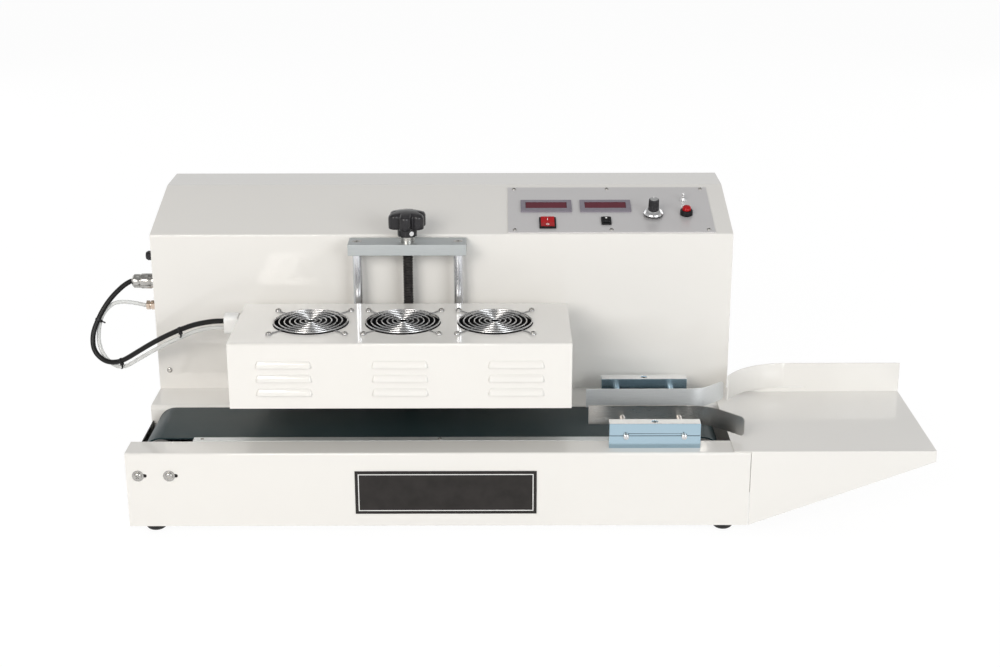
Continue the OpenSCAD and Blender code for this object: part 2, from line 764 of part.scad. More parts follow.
// Back panel with rows of vent slots and the mains inlet's opening
module cabinet_back_panel() {
    slot = [60, 5];
    vent_rows = 7;
    vent_row_pitch = 14;
    vent_columns = 4;
    vent_column_pitch = 90;
    vent_z = 220;
    edge = sheet_t + loose_gap;
    color(paint) placed() translate([0, base_d - sheet_t, 0]) difference() {
        translate([edge, 0, base_h]) cube([base_l - 2 * edge, sheet_t, top_z - sheet_t - base_h]);
        for (row = [0:vent_rows - 1]) for (column = [0:vent_columns - 1])
            translate([base_l / 2 + (column - (vent_columns - 1) / 2) * vent_column_pitch - slot[0] / 2,
                -1, vent_z + row * vent_row_pitch]) along_y(sheet_t + 2) stadium2d(slot[0], slot[1] / 2);
        translate([inlet_x, -1, inlet_z]) along_y(sheet_t + 2) square(inlet_hole, center = true);
    }
}

// Round-head screw on the z axis, with its head on z = 0
module round_screw(head_r, head_h, shank_r, shank_l) {
    rotate_extrude() polygon([[0, head_h], [head_r * 0.6, head_h], [head_r, head_h * 0.45], [head_r, 0],
        [shank_r, 0], [shank_r, -shank_l], [0, -shank_l]]);
}

bar_screw_r = 3;
bar_head_r = 7.2;
bar_head_h = bar_head_r - bar_screw_r;
bar_screw_l = 28;
strip_screw_xs = [98, 431, 740];

// Screws of the case: panel, cabinet front, top bar, clamp blocks and cover strip
module case_screws() {
    strip_y = bay_y0 + strip_w / 2;
    color(steel) placed() {
        for (at = panel_screws_at) on_panel() translate([at[0], at[1], panel_t])
            round_screw(3.2, 1.6, 1.5, panel_t + 4);
        translate([front_screw_x, cab_y0, base_h + front_screw_lift]) rotate([90, 0, 0])
            round_screw(4, 2.4, 1.9, 8);
        for (s = [-1, 1]) translate([lift_x + s * rod_pitch / 2, rod_y, bar_top]) {
            translate([0, 0, -bar_screw_l]) cylinder(h = bar_screw_l - bar_head_h, r = bar_screw_r);
            translate([0, 0, -bar_head_h]) cylinder(h = bar_head_h, r1 = bar_screw_r, r2 = bar_head_r);
        }
        for (y = [front_block_y, back_block_y]) translate([block_x, y + block_d / 2, base_h]) {
            translate([0, 0, block_h - clamp_head_h - 1]) cylinder(h = clamp_head_h, r = clamp_head_r);
            translate([0, 0, clamp_hole_z + 1])
                cylinder(h = block_h - clamp_head_h - clamp_hole_z - 1, r = clamp_screw_r);
        }
        for (x = strip_screw_xs) translate([x, strip_y, base_h]) cylinder(h = 1.2, r1 = 2.6, r2 = 1.8);
    }
}

sink_l = 340;
sink_d = 150;
sink_t = 8;
sink_back = 40;
fin_t = 3;
fin_h = 40;
post_w = 10;
board_gap = 12;
board_t = 3;

// Inverter inside the cabinet: finned heat sink with its board
module power_module() {
    fins = 12;
    color([0.5, 0.52, 0.54]) placed() translate([base_l / 2 - sink_l / 2, cab_y0 + sink_back, base_h]) {
        cube([sink_l, sink_d, sink_t]);
        for (i = [0:fins - 1]) translate([0, i * (sink_d - fin_t) / (fins - 1), sink_t])
            cube([sink_l, fin_t, fin_h]);
        for (x = [post_w, sink_l - 2 * post_w]) translate([x, 0, sink_t + fin_h])
            cube([post_w, sink_d, board_gap]);
        translate([0, 0, sink_t + fin_h + board_gap]) cube([sink_l, sink_d, board_t]);
    }
}

// Mains inlet in the back panel, with its recess and contact pins
module mains_inlet() {
    rim = [48, 28];
    recess = [24, 16];
    depth = 18;
    color(dark) placed() translate([inlet_x, base_d, inlet_z]) {
        difference() {
            union() {
                along_y(inlet_rim_t) rounded2d(rim[0], rim[1], 4);
                translate([0, -depth, 0]) along_y(depth) square(inlet_hole - [2, 2] * run_gap, center = true);
            }
            translate([0, -depth + 3, 0]) along_y(depth + inlet_rim_t) square(recess, center = true);
        }
        for (x = [-7, 0, 7]) translate([x - 1, -depth + 3, x == 0 ? 1 : -3]) cube([2, depth - 5, 4]);
    }
}

// Round cable plug with its coupling ring and cable clamp
module cable_plug() {
    plug_r = plug_dia / 2;
    color(steel) placed() translate([0, side_fit_at, connector_z]) {
        turned_left() {
            translate([0, 0, -sheet_t - 8]) cylinder(h = sheet_t + 8, r = plug_barrel_r);
            cylinder(h = 2, r = plug_r + 2);
            translate([0, 0, 2]) cylinder(h = 7, r = plug_r - 1);
            translate([0, 0, 9]) cylinder(h = 15, r = plug_r);
            translate([0, 0, 24]) cylinder(h = 2, r = plug_r - 3);
            translate([0, 0, 26]) cylinder(h = plug_l - 29, r = plug_r - 1);
            translate([0, 0, plug_l - 3]) cylinder(h = 3, r1 = plug_r - 1, r2 = plug_r - 4);
        }
    }
}

// Brass compression fitting for the tube
module tube_fitting() {
    color(brass) placed() translate([0, side_fit_at, fitting_z]) turned_left() {
        translate([0, 0, -sheet_t - 5]) cylinder(h = sheet_t + 5, r = fitting_barrel_r);
        cylinder(h = 12, r = 7.5, $fn = 6);
        translate([0, 0, 12]) cylinder(h = 2, r = 4.6);
        translate([0, 0, 14]) cylinder(h = 5, r = 7.3, $fn = 6);
    }
}

// Fuse holder with its screw cap
module fuse_holder() {
    color(dark) placed() translate([0, side_fit_at, fuse_z]) turned_left() {
        translate([0, 0, -sheet_t - 30]) cylinder(h = sheet_t + 30, r = fuse_barrel_r);
        cylinder(h = 2.5, r = 8.5);
        translate([0, 0, 2.5]) cylinder(h = 9, r = 7.3);
        translate([0, 0, 11.5]) cylinder(h = 3, r1 = 7.3, r2 = 5.5);
    }
}

nameplate_size = [251, 1, 64];
nameplate_at = [315, 18.5];

// Bare plate on the base's front
module nameplate() {
    color(dark) placed() translate([nameplate_at[0], -nameplate_size[1], nameplate_at[1]])
        cube(nameplate_size);
}

// Plate on the slope that carries the meters, switches and knobs
module control_panel() {
    cut = 4 * panel_t;
    color([0.65, 0.65, 0.66]) placed() on_panel() difference() {
        cube([panel_l, panel_d, panel_t]);
        for (at = meter_at) translate([at[0], at[1], 0])
            cube([meter_body()[0], meter_body()[1], cut] + [1, 1, 0] * loose_gap, center = true);
        for (s = [[power_at, power_size], [mode_at, mode_size]])
            translate([s[0][0], s[0][1], 0])
                cube([housing_out(s[1])[0] + loose_gap, housing_out(s[1])[1] + loose_gap, cut],
                    center = true);
        translate([speed_at[0], speed_at[1], -cut / 2]) cylinder(h = cut, r = speed_bush_r + run_gap);
        translate([toggle_at[0], toggle_at[1], -cut / 2]) cylinder(h = cut, r = toggle_bush_r + run_gap);
        translate([button_at[0], button_at[1], -cut / 2]) cylinder(h = cut, r = button_body_r + run_gap);
        for (at = panel_screws_at) translate([at[0], at[1], -cut / 2]) cylinder(h = cut, r = 1.6);
    }
}

function meter_body() = [meter_l - 6, meter_d - 5];
function housing_out(size) = [size[0] - 2, size[1] - 3];
function housing_in(size) = housing_out(size) - [2, 2] * rocker_wall;
speed_bush_r = 4.5;
toggle_bush_r = 3;
button_body_r = button_dia / 2 + seat_gap + 1.2;
window_size = [62, 19];
window_up = 1.5;

// Two digital meters, each a body behind the panel and a bezel on it
module panel_meters() {
    meter_depth = 45;
    color([0.55, 0.53, 0.58]) placed() on_panel() for (at = meter_at) translate([at[0], at[1], 0])
        difference() {
        union() {
            translate([0, 0, (panel_t - meter_depth) / 2])
                cube([meter_body()[0], meter_body()[1], meter_depth + panel_t], center = true);
            translate([-meter_l / 2, -meter_d / 2, panel_t]) cube([meter_l, meter_d, meter_rise]);
        }
        translate([0, window_up, panel_t + meter_rise])
            cube([window_size[0], window_size[1], 2 * window_sunk()] + [1, 1, 0] * loose_gap, center = true);
    }
}

function window_sunk() = meter_rise - 0.5;

// Red windows in the meters' bezels
module meter_windows() {
    window_t = 1.2;
    color([0.4, 0.05, 0.08]) placed() on_panel() for (at = meter_at)
        translate([at[0] - window_size[0] / 2, at[1] + window_up - window_size[1] / 2,
            panel_t + meter_rise - window_sunk()])
            cube([window_size[0], window_size[1], window_t]);
}

// Housing of a rocker switch: a bezel on the panel and an open box behind it
module rocker_housing(size) {
    depth = 18;
    floor = 3;
    out = housing_out(size);
    in = housing_in(size);
    difference() {
        union() {
            translate([-out[0] / 2, -out[1] / 2, -depth]) cube([out[0], out[1], depth + panel_t]);
            translate([0, 0, panel_t]) linear_extrude(rocker_rise) rounded2d(size[0], size[1], 1.5);
        }
        translate([-in[0] / 2, -in[1] / 2, -depth + floor])
            cube([in[0], in[1], depth + panel_t + rocker_rise]);
        translate([-out[0] / 2, 0, panel_t]) rotate([0, 90, 0])
            cylinder(h = out[0], r = rocker_pin_r + run_gap);
    }
}

// Bezel and body of the push button
module button_housing() {
    depth = 16;
    bore_r = button_dia / 2 + seat_gap;
    difference() {
        union() {
            translate([0, 0, -depth]) cylinder(h = depth + panel_t, r = button_body_r);
            translate([0, 0, panel_t]) cylinder(h = button_bezel_h - 2, r = button_bezel_r);
            translate([0, 0, panel_t + button_bezel_h - 2])
                cylinder(h = 2, r1 = button_bezel_r, r2 = button_bezel_r - 1.5);
        }
        translate([0, 0, -depth + 3]) cylinder(h = depth + panel_t + button_bezel_h, r = bore_r);
    }
}

// Fixed black housings of the switches on the panel
module switch_housings() {
    color(dark) placed() on_panel() {
        translate([power_at[0], power_at[1], 0]) rocker_housing(power_size);
        translate([mode_at[0], mode_at[1], 0]) rocker_housing(mode_size);
        translate([button_at[0], button_at[1], 0]) button_housing();
    }
}

// Rocker that tilts on a pin between its housing's side walls
module rocker(size) {
    in = housing_in(size);
    w = in[0] - 2 * seat_gap;
    half = in[1] / 2 - 1.2;
    tip = rocker_rise + 2;
    dip = rocker_rise;
    pin_l = in[0] + 2 * rocker_wall - 0.4;
    translate([0, 0, panel_t]) rotate([rocker_tilt, 0, 0]) {
        translate([-w / 2, 0, 0]) along_x(w)
            polygon([[-half, -1], [-half, tip], [0, dip], [half, tip], [half, -1], [half / 2, -5],
                [-half / 2, -5]]);
        translate([-pin_l / 2, 0, 0]) rotate([0, 90, 0]) cylinder(h = pin_l, r = rocker_pin_r);
    }
}

module power_rocker() {
    color([0.75, 0.05, 0.05]) placed() on_panel() translate([power_at[0], power_at[1], 0]) rocker(power_size);
}

module mode_rocker() {
    color(dark) placed() on_panel() translate([mode_at[0], mode_at[1], 0]) rocker(mode_size);
}

// Potentiometer behind the panel, with its bush and nut
module speed_pot() {
    can_h = 11;
    color(zinc) placed() on_panel() translate([speed_at[0], speed_at[1], 0]) difference() {
        union() {
            translate([0, 0, -can_h]) cylinder(h = can_h, r = 8.5);
            cylinder(h = panel_t + 4, r = speed_bush_r);
            translate([0, 0, panel_t]) cylinder(h = 2, r = 7, $fn = 6);
        }
        translate([0, 0, -can_h + 3]) cylinder(h = 2 * can_h, r = speed_shaft_r + run_gap);
    }
}

// Fluted speed knob on its shaft, with a wide skirt
module speed_knob() {
    skirt_r = speed_skirt_dia / 2;
    grip_r = 7.9;
    flutes = 18;
    skirt_h = 6;
    low = panel_t + 2.5;
    color(dark) placed() on_panel() translate([speed_at[0], speed_at[1], 0]) {
        difference() {
            union() {
                translate([0, 0, low]) cylinder(h = skirt_h / 2, r = skirt_r);
                translate([0, 0, low + skirt_h / 2])
                    cylinder(h = skirt_h / 2, r1 = skirt_r, r2 = grip_r + 1.5);
                translate([0, 0, low + skirt_h])
                    cylinder(h = speed_knob_h - skirt_h - 2.5, r1 = grip_r, r2 = grip_r - 0.8);
            }
            translate([0, 0, low - 1]) cylinder(h = 3, r = speed_bush_r + seat_gap);
            for (i = [0:flutes - 1]) rotate([0, 0, i * 360 / flutes])
                translate([grip_r + 0.3, 0, low + skirt_h + 0.5])
                cylinder(h = speed_knob_h, r = 0.8);
        }
        translate([0, 0, -7]) cylinder(h = low + 12, r = speed_shaft_r);
    }
}

toggle_pivot = 4;                // toggle's pivot above the panel
toggle_tilt = 12;

// Small toggle switch: body behind the panel, bush and nut
module toggle_body() {
    body = [8, 13, 10];
    color(steel) placed() on_panel() translate([toggle_at[0], toggle_at[1], 0]) difference() {
        union() {
            translate([-body[0] / 2, -body[1] / 2, -body[2]]) cube(body);
            cylinder(h = panel_t + toggle_pivot + 1.3, r = toggle_bush_r);
            translate([0, 0, panel_t]) cylinder(h = 2, r = 4.8, $fn = 6);
        }
        translate([0, 0, panel_t + toggle_pivot - 2.6]) cylinder(h = 6, r = toggle_bush_r - 0.6);
    }
}

module toggle_lever() {
    lever_l = 7;
    color(steel) placed() on_panel() translate([toggle_at[0], toggle_at[1], panel_t + toggle_pivot])
        rotate([-toggle_tilt, 0, 0]) {
            sphere(r = toggle_bush_r - 0.9);
            cylinder(h = lever_l, r1 = toggle_lever_r, r2 = toggle_lever_r + 0.5);
            translate([0, 0, lever_l]) sphere(r = toggle_lever_r + 0.5);
        }
}

// Red cap of the push button
module push_button() {
    crown = 2;
    color([0.85, 0.1, 0.1]) placed() on_panel() translate([button_at[0], button_at[1], 0]) {
        translate([0, 0, -5]) cylinder(h = panel_t + button_rise + 5 - crown, d = button_dia);
        translate([0, 0, panel_t + button_rise - crown])
            cylinder(h = crown, d1 = button_dia, d2 = button_dia - 3);
    }
}

// Two upright rods that the head slides on
module lift_rods() {
    color(steel) placed() for (s = [-1, 1]) translate([lift_x + s * rod_pitch / 2, rod_y, base_h])
        difference() {
        cylinder(h = bar_z - base_h, d = rod_dia);
        translate([0, 0, bar_top - bar_screw_l - 2 - base_h])
            cylinder(h = bar_screw_l, r = bar_screw_r + run_gap);
    }
}

// Bar across the rods that carries the lift screw
module lift_top_bar() {
    color(zinc) placed() difference() {
        translate([lift_x - bar_l / 2, rod_y - bar_d / 2, bar_z]) cube([bar_l, bar_d, bar_h]);
        translate([lift_x, rod_y, bar_z - 1]) cylinder(h = bar_h + 2, r = screw_dia / 2 + run_gap);
        for (s = [-1, 1]) translate([lift_x + s * rod_pitch / 2, rod_y, bar_z - 1]) {
            cylinder(h = bar_h + 2, r = bar_screw_r + run_gap);
            translate([0, 0, bar_h + 1 - bar_head_h])
                cylinder(h = bar_head_h, r1 = bar_screw_r + run_gap, r2 = bar_head_r + run_gap);
        }
    }
}

// Lift screw, from above the deck into the knob
module lift_screw() {
    low = base_h + screw_foot_gap;
    color(dark) placed() translate([lift_x, rod_y, low])
        cylinder(h = lobe_z + knob_h / 3 - low, d = screw_dia);
}

// Thrust collars on the screw, between the bar and the knob
module thrust_collars() {
    rest = 0.1;
    ring_h = (collar_h - rest) / 2;
    color(brass) placed() translate([lift_x, rod_y, bar_top + rest]) for (i = [0, 1]) difference() {
        translate([0, 0, i * ring_h]) cylinder(h = ring_h, r = screw_dia / 2 + 3.5 - i * 0.6);
        translate([0, 0, -1]) cylinder(h = collar_h + 2, r = screw_dia / 2 + run_gap);
    }
}

set_screw_r = 3.4;
set_screw_a = 26;                // set screw's turn from the front to the right

// From machine places to the set screw's axis, pointing out of the hub
module on_set_screw() {
    translate([lift_x, rod_y, hub_z + knob_hub_h / 2]) rotate([0, 0, set_screw_a]) rotate([90, 0, 0])
        children();
}

// Star knob: round lobes under a shallow dome, on a hub
module star_knob() {
    lobes = 6;
    lobe_r = knob_dia * 0.16;
    dome_drop = 4.5;
    dome_r = (pow(knob_dia / 2, 2) + pow(dome_drop, 2)) / (2 * dome_drop);
    color(dark) placed() difference() {
        union() {
            translate([lift_x, rod_y, hub_z]) cylinder(h = knob_hub_h + 1, d = knob_hub_dia);
            intersection() {
                translate([lift_x, rod_y, lobe_z]) {
                    cylinder(h = knob_h, r = knob_dia / 2 - lobe_r);
                    for (i = [0:lobes - 1]) rotate([0, 0, -95 + i * 360 / lobes])
                        translate([knob_dia / 2 - lobe_r, 0, 0]) cylinder(h = knob_h, r = lobe_r);
                }
                translate([lift_x, rod_y, knob_top - dome_r]) sphere(r = dome_r, $fn = 96);
            }
        }
        translate([lift_x, rod_y, hub_z - 1])
            cylinder(h = lobe_z + knob_h / 3 - hub_z + 2, r = screw_dia / 2 + run_gap);
        on_set_screw() cylinder(h = knob_hub_dia, r = set_screw_r + run_gap);
    }
}

// Screw that locks the knob on the lift screw
module knob_set_screw() {
    show = 2;
    from = screw_dia / 2 + seat_gap;
    color(steel) placed() on_set_screw() translate([0, 0, from])
        cylinder(h = knob_hub_dia / 2 + show - from, r = set_screw_r);
}

// Pressed louvre on the wall plane y = 0, open below, bulging to -y, centred on x = 0
function louvre_edge(d, h) = [[0, 0], [d, 0], [d * 0.94, h * 0.25], [d * 0.74, h * 0.55], [d * 0.4,
    h * 0.82], [0, h]];

module louvre_solid(d, h, l) {
    straight = l - 2 * d;
    translate([-straight / 2, 0, 0]) mirror([0, 1, 0]) along_x(straight) polygon(louvre_edge(d, h));
    for (s = [-1, 1]) translate([s * straight / 2, 0, 0]) rotate([0, 0, s > 0 ? -90 : 180])
        rotate_extrude(angle = 90) polygon(louvre_edge(d, h));
}

module louvre() {
    difference() {
        louvre_solid(louvre_d, louvre_h, louvre_l);
        translate([0, 0, -0.01]) louvre_solid(louvre_d - 1, louvre_h - 2, louvre_l - 2);
    }
}

function louvre_places() = [for (g = [-1:1]) for (i = [-1:1])
    [head_mid_x + g * louvre_group_pitch, head_z + head_h * 0.42 + i * louvre_pitch]];

// Folded sheet cover of the head, with louvres in front and air holes on top
module head_cover() {
    line = [[head_y, head_z], [head_y, head_top], [head_y1, head_top], [head_y1, head_z]];
    color(paint) placed() {
        difference() {
            union() {
                translate([head_x, 0, 0]) along_x(head_l) folded2d(line, [0, fold_r, fold_r, 0]);
                for (x = [head_x, head_x + head_l - sheet_t])
                    translate([x, head_y, head_z]) along_x(sheet_t) arch2d(head_d, head_h, fold_r, fold_r);
            }
            for (x = fan_xs()) {
                translate([x, head_mid_y, fan_top - 1]) cylinder(h = sheet_t + 2, d = air_hole_dia);
                for (at = fan_corners(x)) translate([at[0], at[1], fan_top - 1])
                    cylinder(h = sheet_t + 2, r = guard_screw_r + run_gap);
            }
            for (at = louvre_places()) translate([at[0] - louvre_l / 2 + louvre_d, head_y - 1, at[1]])
                cube([louvre_l - 2 * louvre_d, sheet_t + 2, louvre_h - 2.5]);
            translate([head_x - 1, gland_y, gland_z]) rotate([0, 90, 0])
                cylinder(h = sheet_t + 2, r = gland_barrel_r + run_gap);
        }
        for (at = louvre_places()) translate([at[0], head_y, at[1]]) louvre();
    }
}

guard_screw_r = 2;
gland_barrel_r = 8;
function fan_xs() = [for (i = [-1:1]) head_mid_x + i * fan_pitch];
function fan_corners(x) = [for (sx = [-1, 1]) for (sy = [-1, 1])
    [x + sx * fan_hole_pitch / 2, head_mid_y + sy * fan_hole_pitch / 2]];

// Insulating plate under the coil
module head_floor() {
    color([0.85, 0.84, 0.8]) placed() translate([head_x + sheet_t, head_y + sheet_t, head_z])
        cube([head_l - 2 * sheet_t, head_d - 2 * sheet_t, head_floor_t]);
}

coil_length = 270;
coil_r = 65;
coil_w = 38;

// Flat wound coil on the head's floor
module induction_coil() {
    color([0.7, 0.4, 0.2]) placed()
        translate([head_mid_x - coil_length / 2, head_mid_y, head_z + head_floor_t])
        linear_extrude(coil_h) difference() {
            stadium2d(coil_length, coil_r);
            stadium2d(coil_length, coil_r - coil_w);
        }
}

// Ferrite bars across the coil
module ferrite_bars() {
    bars = 6;
    bar = [18, 2 * coil_r, 14];
    color([0.25, 0.25, 0.26]) placed() for (i = [0:bars - 1])
        translate([head_mid_x - coil_length / 2 + i * (coil_length - bar[0]) / (bars - 1),
            head_mid_y - bar[1] / 2, head_z + head_floor_t + coil_h])
            cube(bar);
}

duct_r = fan_side / 2 - 3;
fan_hub_r = 22;
hub_plate_t = 5;
fan_shaft_r = 2.5;

// Square fan frames under the head's top, each with its hub plate on three struts
module fan_frames() {
    struts = 3;
    strut_w = 6;
    color(dark) placed() for (x = fan_xs()) translate([x, head_mid_y, fan_top - fan_h]) difference() {
        union() {
            difference() {
                translate([-fan_side / 2, -fan_side / 2, 0]) cube([fan_side, fan_side, fan_h]);
                translate([0, 0, -1]) cylinder(h = fan_h + 2, r = duct_r);
            }
            cylinder(h = hub_plate_t, r = fan_hub_r);
            for (i = [0:struts - 1]) rotate([0, 0, 90 + i * 360 / struts]) translate([0, -strut_w / 2, 0])
                cube([duct_r + 1, strut_w, hub_plate_t]);
        }
        translate([0, 0, 1.5]) cylinder(h = hub_plate_t, r = fan_shaft_r + run_gap);
        for (sx = [-1, 1]) for (sy = [-1, 1])
            translate([sx * fan_hole_pitch / 2, sy * fan_hole_pitch / 2, -1])
            cylinder(h = fan_h + 2, r = guard_screw_r + run_gap);
    }
}

// Fan rotor: hub, shaft and pitched blades
module fan_rotor(x) {
    blades = 7;
    blade_t = 1.6;
    blade_w = 34;
    blade_pitch = 38;
    low = hub_plate_t + 1;
    rotor_h = fan_h - low - 5;
    tip_gap = 2;
    color(dark) placed() translate([x, head_mid_y, fan_top - fan_h]) {
        translate([0, 0, low]) cylinder(h = rotor_h, r = fan_hub_r);
        translate([0, 0, 2]) cylinder(h = low, r = fan_shaft_r);
        intersection() {
            for (i = [0:blades - 1]) rotate([0, 0, i * 360 / blades]) translate([0, 0, low + rotor_h / 2])
                rotate([blade_pitch, 0, 0]) translate([fan_hub_r - 3, -blade_w / 2, -blade_t / 2])
                    cube([duct_r, blade_w, blade_t]);
            translate([0, 0, low + 1]) cylinder(h = rotor_h - 2, r = duct_r - tip_gap);
        }
    }
}

module fan_rotor_1() fan_rotor(fan_xs()[0]);
module fan_rotor_2() fan_rotor(fan_xs()[1]);
module fan_rotor_3() fan_rotor(fan_xs()[2]);

// Finger guards: rings on four spokes, with an eye at each screw
module fan_guards() {
    ring_pitch = 7.4;
    eye_r = 4.6;
    lap = 0.4;
    reach = fan_hole_pitch / sqrt(2);
    color(steel) placed() for (x = fan_xs()) translate([x, head_mid_y, head_top]) {
        for (i = [1:guard_rings]) translate([0, 0, guard_wire - lap]) difference() {
            cylinder(h = guard_wire, r = i * ring_pitch + guard_wire / 2);
            translate([0, 0, -1]) cylinder(h = guard_wire + 2, r = i * ring_pitch - guard_wire / 2);
        }
        for (a = [45:90:315]) rotate([0, 0, a]) difference() {
            union() {
                translate([ring_pitch, -guard_wire / 2, 0])
                    cube([reach - ring_pitch, guard_wire, guard_wire]);
                translate([reach, 0, 0]) cylinder(h = guard_wire, r = eye_r);
            }
            translate([reach, 0, -1]) cylinder(h = guard_wire + 2, r = guard_screw_r + run_gap);
        }
    }
}

module guard_screws() {
    color(steel) placed() for (x = fan_xs()) for (at = fan_corners(x))
        translate([at[0], at[1], head_top + guard_wire]) round_screw(4, 2.4, guard_screw_r, fan_h / 2);
}

// Block behind the head that slides on the rods
module head_carriage() {
    low = head_z + carriage_lift;
    color(zinc) placed() difference() {
        translate([lift_x - carriage_l / 2, head_y1, low]) cube([carriage_l, carriage_d, carriage_h]);
        for (s = [-1, 1]) translate([lift_x + s * rod_pitch / 2, rod_y, low - 1])
            cylinder(h = carriage_h + 2, r = rod_dia / 2 + bush_wall + 2 * run_gap);
        translate([lift_x, rod_y, low - 1])
            cylinder(h = carriage_h + 2, r = screw_dia / 2 + nut_wall + 2 * run_gap);
    }
}

// Flanged sleeve in the carriage
module sleeve(bore_r, wall) {
    difference() {
        union() {
            cylinder(h = carriage_h, r = bore_r + wall);
            translate([0, 0, carriage_h]) cylinder(h = bush_rim_h, r = bore_r + wall + 2);
        }
        translate([0, 0, -1]) cylinder(h = carriage_h + bush_rim_h + 2, r = bore_r + run_gap);
    }
}

module carriage_bushes() {
    color(brass) placed() for (s = [-1, 1])
        translate([lift_x + s * rod_pitch / 2, rod_y, head_z + carriage_lift])
        sleeve(rod_dia / 2, bush_wall);
}

// Nut of the lift screw
module lift_nut() {
    color(brass) placed() translate([lift_x, rod_y, head_z + carriage_lift]) sleeve(screw_dia / 2, nut_wall);
}

// White gland on the head's left end, where the cable and the tube go in
module head_gland() {
    body = [26, 27];
    collar = 4;
    color("white") placed() translate([head_x, gland_y, gland_z]) {
        translate([-gland_l, 0, 0]) along_x(gland_l - collar) rounded2d(body[0], body[1], 6);
        turned_left() cylinder(h = collar, r = 12);
        turned_left() translate([0, 0, -sheet_t - 6]) cylinder(h = sheet_t + 6, r = gland_barrel_r);
    }
}

// Directions along a route, and a ring of points across each of its points
function route_dir(p, i) = unit(p[min(i + 1, len(p) - 1)] - p[max(i - 1, 0)]);
function across(d) = unit(cross(d, [0, 1, 0]));
function ring(c, d, r, n) = let (a = across(d), b = cross(d, a))
    [for (k = [0:n - 1]) c + r * (a * cos(360 * k / n) + b * sin(360 * k / n))];

// Tube of one radius swept along a route
module swept(p, r, n) {
    rings = len(p);
    points = [for (i = [0:rings - 1])
        each ring(p[i], i == 0 || i == rings - 1 ? end_dir(p, i) : route_dir(p, i), r, n)];
    sides = [for (i = [0:rings - 2]) for (k = [0:n - 1]) let (m = (k + 1) % n)
        each [[i * n + k, i * n + m, (i + 1) * n + m], [i * n + k, (i + 1) * n + m, (i + 1) * n + k]]];
    low_cap = [[for (k = [0:n - 1]) n - 1 - k]];
    high_cap = [[for (k = [0:n - 1]) (rings - 1) * n + k]];
    polyhedron(points, concat(sides, low_cap, high_cap));
}

// A cord's ends stand square on the plug's and the gland's faces
function end_dir(p, i) = i == 0 ? [-1, 0, 0] : [1, 0, 0];

module head_cable() {
    ends = concat([[-plug_l, side_fit_at, connector_z]], cable_route, [[head_x - gland_l - seat_gap,
        gland_y, gland_z + 4]]);
    color(dark) placed() swept(ends, cable_r, 10);
}

module head_tube() {
    ends = concat([[-19, side_fit_at, fitting_z]], tube_route, [[head_x - gland_l - seat_gap, gland_y,
        gland_z - 6]]);
    color([0.92, 0.92, 0.92]) placed() swept(ends, tube_r, 8);
}

base_shell();
base_floor();
rubber_feet();
slider_bed();
conveyor_belt();
idler_bearing_plates();
tension_screws();
drive_bearing_stand();
drive_gearmotor();
drive_roller();
idler_roller();
feed_tray();
clamp_lower_blocks();
clamp_upper_blocks();
front_guide();
back_guide();
cabinet_cover();
cabinet_left_panel();
cabinet_right_panel();
cabinet_back_panel();
case_screws();
power_module();
mains_inlet();
cable_plug();
tube_fitting();
fuse_holder();
nameplate();
control_panel();
panel_meters();
meter_windows();
switch_housings();
power_rocker();
mode_rocker();
speed_pot();
speed_knob();
toggle_body();
toggle_lever();
push_button();
lift_rods();
lift_top_bar();
lift_screw();
thrust_collars();
star_knob();
knob_set_screw();
head_cover();
head_floor();
induction_coil();
ferrite_bars();
fan_frames();
fan_rotor_1();
fan_rotor_2();
fan_rotor_3();
fan_guards();
guard_screws();
head_carriage();
carriage_bushes();
lift_nut();
head_gland();
head_cable();
head_tube();
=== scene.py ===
"""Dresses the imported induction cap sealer: camera, cords, fine hardware, materials and light."""

import math

import bpy
import numpy as np
from mathutils import Matrix, Vector


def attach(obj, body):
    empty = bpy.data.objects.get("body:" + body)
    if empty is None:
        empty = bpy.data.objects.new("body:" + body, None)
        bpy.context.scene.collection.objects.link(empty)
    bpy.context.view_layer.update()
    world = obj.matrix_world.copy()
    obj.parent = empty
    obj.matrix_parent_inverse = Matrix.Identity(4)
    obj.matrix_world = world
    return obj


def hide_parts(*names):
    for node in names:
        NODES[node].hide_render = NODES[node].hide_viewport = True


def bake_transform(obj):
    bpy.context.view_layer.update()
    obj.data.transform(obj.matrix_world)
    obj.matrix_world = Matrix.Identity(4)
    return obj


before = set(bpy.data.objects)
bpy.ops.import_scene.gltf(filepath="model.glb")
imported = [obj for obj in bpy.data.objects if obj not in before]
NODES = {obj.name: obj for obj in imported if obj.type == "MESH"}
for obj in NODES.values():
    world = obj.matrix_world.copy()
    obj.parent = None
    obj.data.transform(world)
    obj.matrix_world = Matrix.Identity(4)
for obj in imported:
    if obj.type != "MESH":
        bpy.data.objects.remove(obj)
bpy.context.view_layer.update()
SCENE = bpy.context.scene

# Places below are counted in mm from the base's front left bottom corner, as in the part's source
SHIFT = Vector((-538.5, -241.65, 16.0))
MM = 0.001
BASE_H = 109.0
CAB_Y = 255.0
BEND_Z = 350.0
SLOPE = math.atan2(39.0, 152.0)
PANEL_X = 528.0
PANEL_V = 4.0
PANEL_T = 1.5
PANEL_L = 306.0
PANEL_D = 140.0
HEAD_TOP = 259.0
HEAD_MID_Y = 117.5
FAN_XS = (249.0, 379.0, 509.0)
FAN_HOLE = 52.5
LIFT_X = 381.0
LIFT_Y = 232.0
BAR_TOP = 346.5
HUB_Z = 355.0
LOBE_Z = 367.5
FACING_FRONT = Matrix.Rotation(math.radians(90), 3, "X")

# Places on the panel, along it and up it from its lower left corner
SPEED_AT = (218, 51)
TOGGLE_AT = (267, 96)
BUTTON_AT = (268, 54)
MODE_AT = (146.5, 32)
POWER_AT = (59, 26)


def place(x, y, z):
    """A place on the machine, in metres in the frame."""
    return (Vector((x, y, z)) + SHIFT) * MM


